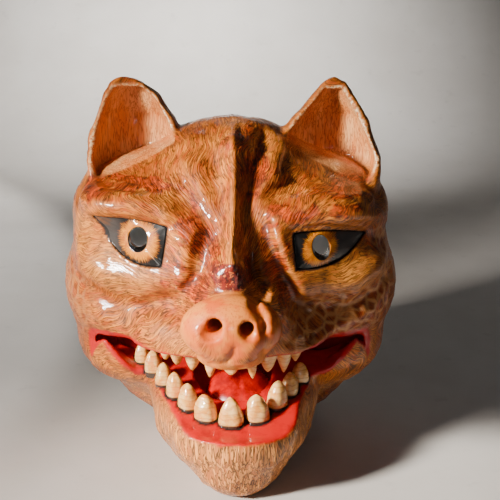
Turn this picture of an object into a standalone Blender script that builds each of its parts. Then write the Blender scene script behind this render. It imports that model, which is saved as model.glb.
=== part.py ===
# Japanese wooden mask: a snarling beast with cupped ears, a pig-like snout and an open toothed mouth.
# The face looks along -Y, +Z is up, and the mask stands on the flat foot under its jaw.

import math
from collections import namedtuple

import bmesh
import bpy
import numpy as np

# Driving sizes, in metres
HALF_WIDTH = 0.100
FACE_DEPTH = 0.100
CROWN_HEIGHT = 0.200
RIM_BACK = 0.052
WALL = 0.009
FIT_GAP = 0.0003
GRID_STEP = 0.0030
SHELL_TRIANGLES = 6200
SMOOTH_ROUNDS = 4

# The lips and the mouth, in metres unless it says share
LIP_LOW = 0.041
LIP_SLOPE = 0.33
LIP_FRONT = -0.085
LIP_HIGH = 0.0755
LIP_HIGH_SLOPE = 0.12
MOUTH_BACK = -0.004
MOUTH_CORNER = 0.080
LIP_CORNER_START = 0.056
LIP_CORNER_RISE = 0.90
LIP_CORNER_BACK = -0.018
LIP_CORNER_FADE = 0.008
LIP_ROUND = 0.003
POCKET_ROUND = 0.006
LEDGE_WIDTH = 0.020
POCKET_DEPTH = 0.012
HOLLOW_FRONT = -0.048
FOOT_WALL = 0.010
HOLLOW_STRAIGHT = 0.042

# The ears
EAR_WALL = 0.0062
EAR_DEEP_SHARE = 0.80
EAR_CUP_FLOOR = 0.160
EAR_CUP_SLOPE = 0.25
EAR_BITE = 0.002
EAR_FRONT_SHARE = 0.35
EAR_FRONT_ROUND = 0.0025
EAR_ROOT_SPAN = 0.012

# Joins between carved masses
HEAD_JAW_BLEND = 0.006
BRIDGE_BLEND = 0.005
SNOUT_BLEND = 0.004
EAR_BLEND = 0.005
CUT_BLEND = 0.002
EAR_TIP_BLEND = 0.006
EAR_RIM_BLEND = 0.003
EAR_ROOT_BLEND = 0.020

# Eyes
EYE_SIDE_POINTS = 9
EYE_THICK = 0.006
EYE_RECESS = 0.0012
EYE_BULGE = 0.0022
EYE_PROUD = 0.030

# Nostrils
NOSTRIL_DEPTH = 0.016
NOSTRIL_TAPER = 0.60
NOSTRIL_SIDES = 14
NOSTRIL_PROUD = 0.004

# Teeth
TOOTH_SIDES = 10
TOOTH_ROOT = 0.0045
SOCKET_PROUD = 0.006

# Tongue
TONGUE_MIDDLE = (0.006, -0.040)
TONGUE_HALF_WIDTH = 0.0200
TONGUE_HALF_LENGTH = 0.0215
TONGUE_HEIGHT = 0.0185
TONGUE_SEAT = 0.0012
TONGUE_SIDES = 20
TONGUE_GROOVE = 0.0022

SIZES = np.array([HALF_WIDTH, FACE_DEPTH, CROWN_HEIGHT])

# Places and radii below are shares of half width, face depth and crown height, in that order.
# A blend is a share of half width. A mass whose middle lies off the middle line has a twin across it.
Mass = namedtuple("Mass", "middle radii blend")
HEAD_MASSES = [
    Mass((0.00, 0.12, 0.645), (0.92, 0.74, 0.330), 0.10),
    Mass((0.02, 0.08, 0.860), (0.40, 0.40, 0.145), 0.14),
    Mass((0.58, 0.12, 0.740), (0.36, 0.42, 0.150), 0.10),
    Mass((0.52, 0.16, 0.500), (0.495, 0.55, 0.240), 0.10),
    Mass((0.56, -0.16, 0.600), (0.34, 0.27, 0.115), 0.06),
    Mass((0.50, -0.20, 0.800), (0.36, 0.26, 0.070), 0.07),
    Mass((0.00, -0.22, 0.450), (0.60, 0.57, 0.125), 0.08),
]
JAW_MASSES = [
    Mass((0.00, 0.28, 0.310), (0.84, 0.48, 0.330), 0.08),
    Mass((0.02, -0.20, 0.200), (0.50, 0.58, 0.255), 0.10),
    Mass((0.52, 0.16, 0.335), (0.43, 0.50, 0.165), 0.08),
    Mass((0.05, -0.60, 0.175), (0.385, 0.345, 0.140), 0.08),
    Mass((0.05, -0.60, 0.080), (0.26, 0.29, 0.100), 0.08),
]
TWIN_FROM = 0.10
SNOUT_PAD = Mass((0.02, -0.89, 0.538), (0.275, 0.165, 0.092), 0.07)
SNOUT_LIP = Mass((0.02, -0.87, 0.465), (0.200, 0.140, 0.045), 0.04)

# Rounded bars: places in shares as above, radii as shares of half width.
Bar = namedtuple("Bar", "places radii")
MUZZLE = Bar([(0.00, -0.05, 0.56), (0.01, -0.58, 0.525)], [0.52, 0.29])
MUZZLE_BLEND = 0.12
NOSE_BRIDGE = Bar([(0.02, -0.20, 0.93), (0.025, -0.44, 0.77), (0.02, -0.66, 0.655)], [0.11, 0.10, 0.14])

# Ear sections from the root up: height is a share of crown height, edges are shares of half width
# measured outwards from the middle line, lean is a share of face depth towards the back.
EarSection = namedtuple("EarSection", "height outer inner lean")
LEFT_EAR = [
    EarSection(0.700, 0.800, 0.300, 0.000),
    EarSection(0.820, 0.835, 0.210, 0.020),
    EarSection(0.900, 0.840, 0.225, 0.050),
    EarSection(0.970, 0.820, 0.300, 0.090),
    EarSection(1.000, 0.800, 0.320, 0.110),
    EarSection(1.070, 0.745, 0.410, 0.140),
    EarSection(1.105, 0.700, 0.500, 0.155),
    EarSection(1.130, 0.655, 0.575, 0.160),
]
RIGHT_EAR = [
    EarSection(0.700, 0.860, 0.320, 0.000),
    EarSection(0.820, 0.885, 0.235, 0.020),
    EarSection(0.900, 0.890, 0.245, 0.050),
    EarSection(0.970, 0.830, 0.310, 0.090),
    EarSection(1.000, 0.810, 0.355, 0.110),
    EarSection(1.060, 0.740, 0.470, 0.140),
    EarSection(1.100, 0.690, 0.530, 0.155),
    EarSection(1.125, 0.645, 0.570, 0.160),
]
EAR_TIP_GAP = 0.007

# Folds carved in the front: places across and up as shares, then width and height as shares of half width.
# A height under zero is a groove.
Fold = namedtuple("Fold", "places width height")
FOLDS = [
    Fold([(-0.25, 0.850), (-0.16, 0.800), (-0.08, 0.745)], 0.050, -0.050),
    Fold([(0.36, 0.855), (0.22, 0.810), (0.11, 0.735)], 0.050, -0.055),
    Fold([(-0.11, 0.970), (-0.07, 0.890), (-0.04, 0.800)], 0.060, -0.030),
    Fold([(0.19, 0.960), (0.14, 0.880), (0.10, 0.780), (0.12, 0.650)], 0.045, -0.050),
    Fold([(-0.79, 0.850), (-0.57, 0.868), (-0.38, 0.850), (-0.22, 0.815)], 0.040, -0.028),
    Fold([(-0.74, 0.822), (-0.54, 0.822), (-0.36, 0.800)], 0.060, 0.045),
    Fold([(0.24, 0.800), (0.45, 0.808), (0.72, 0.790), (0.86, 0.745)], 0.060, 0.050),
    Fold([(0.22, 0.845), (0.42, 0.858), (0.66, 0.850), (0.84, 0.790)], 0.040, -0.030),
    Fold([(0.19, 0.757), (0.26, 0.676), (0.345, 0.591), (0.46, 0.450)], 0.045, -0.060),
    Fold([(0.28, 0.740), (0.34, 0.640), (0.44, 0.560)], 0.050, 0.035),
    Fold([(-0.13, 0.740), (-0.17, 0.670), (-0.21, 0.610), (-0.28, 0.530)], 0.060, -0.030),
    Fold([(-0.25, 0.730), (-0.24, 0.650)], 0.070, 0.035),
    Fold([(-0.86, 0.660), (-0.70, 0.612), (-0.50, 0.598), (-0.33, 0.625)], 0.070, 0.030),
    Fold([(-0.86, 0.560), (-0.70, 0.525), (-0.50, 0.518), (-0.33, 0.560)], 0.050, -0.028),
    Fold([(0.88, 0.620), (0.72, 0.585), (0.56, 0.585), (0.44, 0.608)], 0.070, 0.030),
    Fold([(0.90, 0.545), (0.74, 0.505), (0.56, 0.505), (0.45, 0.540)], 0.050, -0.025),
    Fold([(-0.74, 0.455), (-0.48, 0.405), (-0.32, 0.405)], 0.060, 0.030),
    Fold([(0.78, 0.465), (0.52, 0.425), (0.36, 0.415)], 0.060, 0.030),
]
FOLD_MOST = 0.0050
FOLD_FADE_START = 0.020
FOLD_FADE_SPAN = 0.030

# Eye corners going round, and the point that pulls the side to the next corner outwards.
EyeSide = namedtuple("EyeSide", "corner pull")
LEFT_EYE = [
    EyeSide((-0.773, 0.773), (-0.556, 0.789)),
    EyeSide((-0.339, 0.765), (-0.349, 0.713)),
    EyeSide((-0.372, 0.657), (-0.628, 0.625)),
]
RIGHT_EYE = [
    EyeSide((0.358, 0.746), (0.577, 0.751)),
    EyeSide((0.781, 0.712), (0.621, 0.618)),
    EyeSide((0.378, 0.650), (0.364, 0.700)),
]
# Pupils: middle across and up as shares, half width and half height in shares of half width, lean in degrees.
Pupil = namedtuple("Pupil", "middle half_width half_height lean")
LEFT_PUPIL = Pupil((-0.506, 0.724), 0.055, 0.070, 18.0)
RIGHT_PUPIL = Pupil((0.517, 0.701), 0.047, 0.072, -18.0)

# Nostrils: middle across and up as shares, half width and half height as shares of half width.
Nostril = namedtuple("Nostril", "middle half_width half_height")
NOSTRILS = [
    Nostril((-0.074, 0.568), 0.042, 0.042),
    Nostril((0.110, 0.563), 0.034, 0.048),
]

# Teeth: middle across and back as shares of half width and face depth, size as shares of half width,
# point is the share of the belly's width left at the top.
Tooth = namedtuple("Tooth", "x y width thick height point")
LOWER_TEETH = [
    Tooth(-0.525, -0.220, 0.085, 0.085, 0.105, 0.60),
    Tooth(-0.452, -0.304, 0.102, 0.100, 0.120, 0.60),
    Tooth(-0.385, -0.400, 0.116, 0.100, 0.110, 0.55),
    Tooth(-0.315, -0.500, 0.120, 0.100, 0.130, 0.55),
    Tooth(-0.235, -0.600, 0.122, 0.105, 0.135, 0.55),
    Tooth(-0.130, -0.690, 0.132, 0.110, 0.135, 0.55),
    Tooth(0.015, -0.735, 0.142, 0.110, 0.155, 0.30),
    Tooth(0.165, -0.700, 0.136, 0.110, 0.145, 0.55),
    Tooth(0.275, -0.595, 0.124, 0.105, 0.145, 0.50),
    Tooth(0.350, -0.485, 0.120, 0.100, 0.115, 0.50),
    Tooth(0.415, -0.375, 0.112, 0.100, 0.095, 0.55),
]
UPPER_TEETH = [
    Tooth(-0.370, -0.390, 0.105, 0.090, 0.120, 0.35),
    Tooth(-0.300, -0.495, 0.105, 0.090, 0.120, 0.30),
    Tooth(-0.205, -0.590, 0.100, 0.090, 0.125, 0.30),
    Tooth(-0.095, -0.655, 0.085, 0.085, 0.150, 0.15),
    Tooth(0.015, -0.680, 0.110, 0.090, 0.125, 0.60),
    Tooth(0.125, -0.665, 0.070, 0.085, 0.155, 0.12),
    Tooth(0.225, -0.600, 0.105, 0.090, 0.130, 0.30),
    Tooth(0.315, -0.500, 0.095, 0.090, 0.165, 0.20),
    Tooth(0.385, -0.395, 0.095, 0.090, 0.130, 0.25),
]
# Tooth sections above the gum: height as a share of the tooth, and width as a share of the belly.
ToothSection = namedtuple("ToothSection", "up across")
TOOTH_SECTIONS = [ToothSection(0.20, 1.00), ToothSection(0.55, 0.97), ToothSection(0.82, 0.72)]
TOOTH_NECK = 0.90
TOOTH_TIP_SHARE = 0.62

# Tongue sections: height as a share, and outline as a share of the widest outline.
TongueSection = namedtuple("TongueSection", "up across")
TONGUE_SECTIONS = [
    TongueSection(0.00, 0.93),
    TongueSection(0.35, 1.00),
    TongueSection(0.68, 0.95),
    TongueSection(0.90, 0.75),
    TongueSection(1.00, 0.42),
]


def clear_scene():
    for item in list(bpy.data.objects):
        bpy.data.objects.remove(item, do_unlink=True)


# Shape functions: each takes points in rows and returns how far each lies outside the shape
def blend(first, second, width):
    share = np.clip(0.5 + 0.5 * (second - first) / width, 0.0, 1.0)
    return second * (1 - share) + first * share - width * share * (1 - share)


def shared(first, second, width):
    return -blend(-first, -second, width)


def carve(solid, cut, width):
    return shared(solid, -cut, width)


def ease(value):
    value = np.clip(value, 0.0, 1.0)
    return value * value * (3 - 2 * value)


def ellipsoid(points, mass):
    radii = np.array(mass.radii) * SIZES
    offset = points - np.array(mass.middle) * SIZES
    reach = np.linalg.norm(offset / radii, axis=1)
    slope = np.linalg.norm(offset / radii**2, axis=1)
    return reach * (reach - 1) / np.maximum(slope, 1e-9)


def bar(points, shape):
    places = np.array(shape.places) * SIZES
    radii = np.array(shape.radii) * HALF_WIDTH
    nearest = None
    for start, end, first, last in zip(places, places[1:], radii, radii[1:]):
        along = end - start
        share = np.clip(((points - start) @ along) / (along @ along), 0.0, 1.0)
        gap = np.linalg.norm(points - start - share[:, None] * along, axis=1)
        gap -= first + (last - first) * share
        nearest = gap if nearest is None else np.minimum(nearest, gap)
    return nearest


def masses(points, rows):
    across = points.copy()
    across[:, 0] = np.abs(across[:, 0])
    total = None
    for row in rows:
        part = ellipsoid(across if row.middle[0] > TWIN_FROM else points, row)
        total = part if total is None else blend(total, part, row.blend * HALF_WIDTH)
    return total


def head(points):
    return blend(masses(points, HEAD_MASSES), bar(points, MUZZLE), MUZZLE_BLEND * HALF_WIDTH)


def jaw(points):
    return masses(points, JAW_MASSES)


def line_gap(points, places):
    flat = points[:, [0, 2]]
    ends = np.array(places) * SIZES[[0, 2]]
    nearest = None
    for start, end in zip(ends, ends[1:]):
        along = end - start
        share = np.clip(((flat - start) @ along) / (along @ along), 0.0, 1.0)
        gap = np.linalg.norm(flat - start - share[:, None] * along, axis=1)
        nearest = gap if nearest is None else np.minimum(nearest, gap)
    return nearest


def fold_relief(points):
    relief = np.zeros(len(points))
    for row in FOLDS:
        gap = line_gap(points, row.places)
        relief += row.height * HALF_WIDTH * np.exp(-((gap / (row.width * HALF_WIDTH)) ** 2))
    relief = FOLD_MOST * np.tanh(relief / FOLD_MOST)
    return relief * ease((FOLD_FADE_START - points[:, 1]) / FOLD_FADE_SPAN)


def skin(points):
    total = blend(head(points), bar(points, NOSE_BRIDGE), BRIDGE_BLEND)
    total = blend(total, jaw(points), HEAD_JAW_BLEND)
    return total - fold_relief(points)


def ear(points, rows, side):
    across = points[:, 0] * side
    up = points[:, 2]
    heights = np.array([row.height for row in rows]) * CROWN_HEIGHT
    outer = np.interp(up, heights, [row.outer * HALF_WIDTH for row in rows])
    inner = np.interp(up, heights, [row.inner * HALF_WIDTH for row in rows])
    lean = np.interp(up, heights, [row.lean * FACE_DEPTH for row in rows])
    middle = (outer + inner) / 2
    wide = (outer - inner) / 2
    deep = wide * EAR_DEEP_SHARE + EAR_BITE
    reach = np.hypot((across - middle) / wide, (points[:, 1] - lean) / deep)
    leaf = (reach - 1) * np.minimum(wide, deep)
    leaf = shared(leaf, lean - EAR_FRONT_SHARE * deep - points[:, 1], EAR_FRONT_ROUND)
    leaf = shared(leaf, up - heights[-1], EAR_TIP_BLEND)
    leaf = shared(leaf, heights[0] + EAR_ROOT_SPAN - up, EAR_ROOT_BLEND)
    thin = np.maximum(wide - EAR_WALL, EAR_WALL / 10)
    shallow = np.maximum(deep - EAR_WALL, EAR_WALL / 10)
    behind = np.maximum(points[:, 1] - lean, 0.0)
    reach = np.hypot((across - middle) / thin, behind / shallow)
    scoop = (reach - 1) * np.minimum(thin, shallow)
    scoop = np.maximum(scoop, up - heights[-1] + EAR_TIP_GAP)
    floor = EAR_CUP_FLOOR - up - EAR_CUP_SLOPE * points[:, 1]
    return leaf, shared(scoop, floor, EAR_ROOT_BLEND)


def lip_low(back):
    return LIP_LOW + LIP_SLOPE * np.maximum(back - LIP_FRONT, 0.0)


def lip_high(back):
    return LIP_HIGH - LIP_HIGH_SLOPE * back


def lip_corner(across, back):
    """How far the lower lip lifts toward a corner of the mouth, in the front of the cheek alone."""
    front = np.clip((LIP_CORNER_BACK - back) / LIP_CORNER_FADE, 0.0, 1.0)
    return LIP_CORNER_RISE * front * np.maximum(np.abs(across) - LIP_CORNER_START, 0.0)


def mouth(points):
    across, back, up = points.T
    low = lip_low(back) + lip_corner(across, back)
    gap = shared(low - up, up - lip_high(back), LIP_ROUND)
    gap = shared(gap, back - MOUTH_BACK, POCKET_ROUND)
    return shared(gap, np.abs(across) - MOUTH_CORNER, POCKET_ROUND)


def pocket(points):
    back, up = points[:, 1], points[:, 2]
    gap = shared(jaw(points) + LEDGE_WIDTH, lip_low(back) - POCKET_DEPTH - up, LIP_ROUND)
    gap = np.maximum(gap, up - lip_high(back))
    return np.maximum(gap, back - MOUTH_BACK)


def outside(points):
    total = skin(points)
    scoops = None
    for rows, side in ((LEFT_EAR, -1), (RIGHT_EAR, 1)):
        leaf, scoop = ear(points, rows, side)
        total = blend(total, leaf, EAR_BLEND)
        scoops = scoop if scoops is None else np.minimum(scoops, scoop)
    scoops = np.maximum(scoops, -(head(points) + EAR_BITE))
    total = carve(total, scoops, EAR_RIM_BLEND)
    total = carve(total, mouth(points), CUT_BLEND)
    total = carve(total, pocket(points), CUT_BLEND)
    total = blend(total, ellipsoid(points, SNOUT_PAD), SNOUT_BLEND)
    return blend(total, ellipsoid(points, SNOUT_LIP), SNOUT_LIP.blend * HALF_WIDTH)


def hollow(points):
    points = points.copy()
    points[:, 1] = np.minimum(points[:, 1], HOLLOW_STRAIGHT)
    inside = blend(head(points), jaw(points), HEAD_JAW_BLEND)
    mouth_wall = np.minimum(mouth(points), pocket(points))
    room = np.maximum(inside + WALL, WALL - mouth_wall)
    room = np.maximum(room, FOOT_WALL - points[:, 2])
    return np.maximum(room, HOLLOW_FRONT - points[:, 1])


def shell(points):
    return carve(outside(points), hollow(points), CUT_BLEND)


def front_of(across, up, shape):
    """How far back the front of a shape lies, for each place across and up."""
    across = np.asarray(across, float)
    up = np.asarray(up, float)
    near = np.full(len(across), -2 * FACE_DEPTH)
    far = np.zeros(len(across))
    for _ in range(40):
        middle = (near + far) / 2
        within = shape(np.stack([across, middle, up], axis=1)) < 0
        far = np.where(within, middle, far)
        near = np.where(within, near, middle)
    return (near + far) / 2


# Turning a shape function into a closed mesh, by cutting each cube of a grid into six tetrahedra
def sample(shape, low, counts, step, block):
    cells = (counts - 1) // block
    places = np.stack(np.meshgrid(*[np.arange(n) for n in cells], indexing="ij"), -1).reshape(-1, 3)
    middles = shape(low + (places + 0.5) * block * step)
    filled = np.where(middles < 0, -1.0, 1.0).reshape(cells)
    for axis in range(3):
        filled = np.repeat(filled, block, axis)
    values = np.ones(counts)
    values[:-1, :-1, :-1] = filled
    ticks = np.arange(block + 1)
    offsets = np.stack(np.meshgrid(ticks, ticks, ticks, indexing="ij"), -1).reshape(-1, 3)
    near = places[np.abs(middles) < block * step * 1.25] * block
    spots = np.unique((near[:, None, :] + offsets[None]).reshape(-1, 3), axis=0)
    values[tuple(spots.T)] = shape(low + spots * step)
    for axis in range(3):
        for end in (0, -1):
            np.moveaxis(values, axis, 0)[end] = 1.0
    return np.where(values == 0, 1e-9, values)


def tetrahedra():
    found = []
    for order in ((0, 1, 2), (1, 2, 0), (2, 0, 1), (0, 2, 1), (2, 1, 0), (1, 0, 2)):
        corner = np.zeros(3, int)
        path = [corner.copy()]
        for axis in order:
            corner[axis] = 1
            path.append(corner.copy())
        found.append(np.array(path))
    return found


def polygonise(shape, low, high, step):
    block = 6
    low = np.array(low, float)
    counts = np.ceil((np.array(high) - low) / step / block).astype(int) * block + 1
    values = sample(shape, low, counts, step, block).reshape(-1)
    stride = np.array([counts[1] * counts[2], counts[2], 1])
    cubes = np.stack(np.meshgrid(*[np.arange(n - 1) for n in counts], indexing="ij"), -1).reshape(-1, 3)
    corners = np.array([[a, b, c] for a in (0, 1) for b in (0, 1) for c in (0, 1)])
    within = (values[(cubes @ stride)[:, None] + (corners @ stride)] < 0).sum(1)
    cubes = cubes[(within > 0) & (within < 8)] @ stride
    triangles = []
    for path in tetrahedra():
        positive = np.linalg.det((path[1:] - path[0]).astype(float)) > 0
        ids = cubes[:, None] + path @ stride
        inside = values[ids] < 0
        count = inside.sum(1)
        order = np.argsort(~inside, axis=1, kind="stable")
        sorted_ids = np.take_along_axis(ids, order, 1)
        swaps = np.array([[order[:, i] > order[:, j] for j in range(i + 1, 4)] for i in range(3)], dtype=object)
        odd = sum(sum(row) for row in swaps) % 2 == 1
        turned = odd == positive
        for inner in (1, 2, 3):
            rows = sorted_ids[count == inner]
            flip = turned[count == inner]
            edge = [(0, 1), (0, 2), (0, 3)]
            if inner == 3:
                edge = [(3, 0), (3, 1), (3, 2)]
            if inner == 2:
                edge = [(0, 2), (0, 3), (1, 3), (1, 2)]
            keys = np.stack([rows[:, pair] for pair in (list(e) for e in edge)], axis=1)
            faces = [keys[:, [0, 1, 2]]]
            if inner == 2:
                faces.append(keys[:, [0, 2, 3]])
            for face in faces:
                face[flip] = face[flip][:, ::-1]
                triangles.append(face)
    keys = np.sort(np.concatenate(triangles).reshape(-1, 2), axis=1)
    code, index = np.unique(keys[:, 0] * len(values) + keys[:, 1], return_inverse=True)
    first, second = code // len(values), code % len(values)
    share = np.clip(values[first] / (values[first] - values[second]), 0.08, 0.92)[:, None]
    spots = np.stack(np.unravel_index(np.stack([first, second]), counts), -1)
    points = low + (spots[0] * (1 - share) + spots[1] * share) * step
    return points, index.reshape(-1, 3)


def largest_body(points, faces):
    """The faces of the largest connected body, with only the points that they use."""
    label = np.arange(len(points))
    while True:
        lowest = label[faces].min(axis=1)
        before = label.copy()
        for column in range(3):
            np.minimum.at(label, faces[:, column], lowest)
        label = label[label]
        if (label == before).all():
            break
    names, sizes = np.unique(label[faces[:, 0]], return_counts=True)
    kept = faces[label[faces[:, 0]] == names[np.argmax(sizes)]]
    used, index = np.unique(kept, return_inverse=True)
    return points[used], index.reshape(-1, 3)


# Materials
def material(name, colour, roughness):
    made = bpy.data.materials.new(name)
    made.use_nodes = True
    shader = made.node_tree.nodes["Principled BSDF"]
    shader.inputs["Base Color"].default_value = (*colour, 1.0)
    shader.inputs["Roughness"].default_value = roughness
    shader.inputs["Metallic"].default_value = 0.0
    return made


def skin_paint():
    return material("fur_paint", (0.60, 0.27, 0.09), 0.30)


def eye_paint():
    return material("eye_paint", (0.75, 0.35, 0.03), 0.12)


def ivory_paint():
    return material("ivory_paint", (0.80, 0.58, 0.33), 0.30)


def tongue_paint():
    return material("tongue_paint", (0.62, 0.03, 0.02), 0.20)


def add_object(name, points, faces, paint=None):
    mesh = bpy.data.meshes.new(name)
    mesh.from_pydata([tuple(map(float, p)) for p in points], [], [tuple(map(int, f)) for f in faces])
    shaped = bmesh.new()
    shaped.from_mesh(mesh)
    bmesh.ops.recalc_face_normals(shaped, faces=shaped.faces)
    shaped.to_mesh(mesh)
    shaped.free()
    item = bpy.data.objects.new(name, mesh)
    bpy.context.scene.collection.objects.link(item)
    if paint:
        mesh.materials.append(paint)
        mesh.shade_smooth()
        mesh.set_sharp_from_angle(angle=math.radians(40))
    return item


def as_cutter(item):
    item.hide_render = True
    item.display_type = "WIRE"
    return item


def subtract(item, cutter, name):
    change = item.modifiers.new(name, "BOOLEAN")
    change.operation = "DIFFERENCE"
    change.solver = "EXACT"
    change.object = cutter


def stacked(rings, closed_loop=False):
    """Points and faces for rings of equal count, capped at both ends or closed into a loop."""
    count = len(rings[0])
    points = [point for ring in rings for point in ring]
    faces = []
    pairs = [(i, i + 1) for i in range(len(rings) - 1)]
    if closed_loop:
        pairs.append((len(rings) - 1, 0))
    for low, high in pairs:
        for k in range(count):
            after = (k + 1) % count
            faces.append((low * count + k, low * count + after, high * count + after, high * count + k))
    if not closed_loop:
        faces.append(tuple(range(count))[::-1])
        faces.append(tuple((len(rings) - 1) * count + k for k in range(count)))
    return points, faces


def joined(shapes):
    points, faces = [], []
    for more_points, more_faces in shapes:
        start = len(points)
        points += list(more_points)
        faces += [tuple(start + k for k in face) for face in more_faces]
    return points, faces


def box(low, high):
    corners = [(x, y, z) for z in (low[2], high[2]) for x, y in (
        (low[0], low[1]), (high[0], low[1]), (high[0], high[1]), (low[0], high[1]))]
    return stacked([corners[:4], corners[4:]])


# Eyes
def eye_outline(sides):
    flat = []
    for k, side in enumerate(sides):
        start = np.array(side.corner)
        end = np.array(sides[(k + 1) % len(sides)].corner)
        pull = np.array(side.pull)
        for step in range(EYE_SIDE_POINTS):
            t = step / EYE_SIDE_POINTS
            flat.append(start * (1 - t) ** 2 + pull * 2 * t * (1 - t) + end * t * t)
    return np.array(flat) * SIZES[[0, 2]]


def pupil_outline(pupil, outline, grow=0.0):
    middle = np.array(pupil.middle) * SIZES[[0, 2]]
    lean = math.radians(pupil.lean)
    wide = pupil.half_width * HALF_WIDTH + grow
    high = pupil.half_height * HALF_WIDTH + grow
    away = outline - middle
    angle = np.arctan2(away[:, 1], away[:, 0]) + lean
    across = np.cos(angle) * wide
    up = np.sin(angle) * high
    turned_x = across * math.cos(lean) + up * math.sin(lean)
    turned_z = up * math.cos(lean) - across * math.sin(lean)
    return middle + np.stack([turned_x, turned_z], axis=1)


def with_depth(flat, back):
    return [(x, y, z) for (x, z), y in zip(flat, back)]


def eye_plane(outline):
    """The plane that best follows the face round the eye: how far back it lies at each place."""
    front = front_of(outline[:, 0], outline[:, 1], skin)
    table = np.stack([np.ones(len(outline)), outline[:, 0], outline[:, 1]], axis=1)
    return np.linalg.lstsq(table, front, rcond=None)[0]


def on_plane(plane, flat):
    return plane[0] + flat[:, 0] * plane[1] + flat[:, 1] * plane[2]


def eye_shape(sides, pupil):
    outline = eye_outline(sides)
    hole = pupil_outline(pupil, outline)
    plane = eye_plane(outline)
    rings = [with_depth(outline, front_of(outline[:, 0], outline[:, 1], skin) + EYE_RECESS)]
    for share in (0.35, 0.70, 1.0):
        flat = outline * (1 - share) + hole * share
        dome = EYE_BULGE * math.sin(share * math.pi / 2)
        rings.append(with_depth(flat, front_of(flat[:, 0], flat[:, 1], skin) + EYE_RECESS - dome))
    rings.append(with_depth(hole, on_plane(plane, hole) + EYE_THICK))
    rings.append(with_depth(outline, on_plane(plane, outline) + EYE_THICK))
    return stacked(rings, closed_loop=True)


def eye_socket(sides, pupil):
    outline = eye_outline(sides)
    middle = np.array(pupil.middle) * SIZES[[0, 2]]
    edges = np.roll(outline, -1, axis=0) - outline
    away = outline - middle
    reach = np.abs(edges[:, 0] * away[:, 1] - edges[:, 1] * away[:, 0]) / np.linalg.norm(edges, axis=1)
    wider = middle + away * (1 + FIT_GAP / reach.min())
    plane = eye_plane(outline)
    back = on_plane(plane, wider)
    return stacked([with_depth(wider, back - EYE_PROUD), with_depth(wider, back + EYE_THICK + FIT_GAP)])


def pupil_bore(sides, pupil):
    outline = eye_outline(sides)
    hole = pupil_outline(pupil, outline, FIT_GAP)
    plane = eye_plane(outline)
    back = on_plane(plane, hole)
    return stacked([with_depth(hole, back), with_depth(hole, np.full(len(hole), RIM_BACK))])


# Nostrils, teeth and tongue
def nostril_shape(row):
    middle = np.array(row.middle) * SIZES[[0, 2]]
    front = front_of(middle[:1], middle[1:], outside)[0]
    rings = []
    for depth, share in ((-NOSTRIL_PROUD, 1.0), (0.0, 1.0), (NOSTRIL_DEPTH, NOSTRIL_TAPER)):
        ring = []
        for k in range(NOSTRIL_SIDES):
            angle = 2 * math.pi * k / NOSTRIL_SIDES
            across = middle[0] + math.cos(angle) * row.half_width * HALF_WIDTH * share
            up = middle[1] + math.sin(angle) * row.half_height * HALF_WIDTH * share
            ring.append((across, front + depth, up))
        rings.append(ring)
    return stacked(rings)


def tooth_turn(row):
    """The direction across a tooth, square to the line from the middle of the mouth."""
    return math.atan2(row.x * HALF_WIDTH - TONGUE_MIDDLE[0], -(row.y * FACE_DEPTH - TONGUE_MIDDLE[1]))


def tooth_ring(row, up, share, grow=0.0):
    turn = tooth_turn(row)
    ring = []
    for k in range(TOOTH_SIDES):
        angle = 2 * math.pi * k / TOOTH_SIDES
        across = math.cos(angle) * (row.width * HALF_WIDTH / 2 * share + grow)
        deep = math.sin(angle) * (row.thick * HALF_WIDTH / 2 * share + grow)
        x = row.x * HALF_WIDTH + across * math.cos(turn) - deep * math.sin(turn)
        y = row.y * FACE_DEPTH + across * math.sin(turn) + deep * math.cos(turn)
        ring.append((x, y, up))
    return ring


def gum(row, way):
    back = row.y * FACE_DEPTH
    return float(lip_low(back)) if way > 0 else float(lip_high(back))


def tooth_shape(row, way):
    base = gum(row, way)
    height = row.height * HALF_WIDTH
    rings = [tooth_ring(row, base - way * TOOTH_ROOT, TOOTH_NECK)]
    rings.append(tooth_ring(row, base, TOOTH_NECK))
    for section in TOOTH_SECTIONS:
        narrow = 1 - (1 - row.point) * section.up**3
        rings.append(tooth_ring(row, base + way * height * section.up, section.across * narrow))
    rings.append(tooth_ring(row, base + way * height, row.point * TOOTH_TIP_SHARE))
    return stacked(rings)


def tooth_socket(row, way):
    base = gum(row, way)
    belly = TOOTH_SECTIONS[0]
    rings = [
        tooth_ring(row, base - way * (TOOTH_ROOT + FIT_GAP), TOOTH_NECK, FIT_GAP),
        tooth_ring(row, base, TOOTH_NECK, FIT_GAP),
        tooth_ring(row, base + way * belly.up * row.height * HALF_WIDTH, belly.across, FIT_GAP),
        tooth_ring(row, base + way * SOCKET_PROUD, belly.across, FIT_GAP),
    ]
    return stacked(rings)


def tongue_ring(share, up, grow=0.0):
    ring = []
    for k in range(TONGUE_SIDES):
        angle = 2 * math.pi * k / TONGUE_SIDES
        across = math.cos(angle)
        along = math.sin(angle)
        x = TONGUE_MIDDLE[0] + across * (TONGUE_HALF_WIDTH * share + grow)
        y = TONGUE_MIDDLE[1] + along * (TONGUE_HALF_LENGTH * share + grow)
        floor = float(lip_low(y)) - POCKET_DEPTH
        ring.append((x, y, floor - TONGUE_SEAT + up))
    return ring


def tongue_shape():
    rings = [tongue_ring(section.across, section.up * TONGUE_HEIGHT) for section in TONGUE_SECTIONS]
    rings.append(tongue_ring(0.12, TONGUE_HEIGHT - TONGUE_GROOVE))
    return stacked(rings)


def tongue_seat():
    widest = max(section.across for section in TONGUE_SECTIONS)
    return stacked([tongue_ring(widest, -FIT_GAP, FIT_GAP), tongue_ring(widest, TONGUE_HEIGHT, FIT_GAP)])


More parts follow.
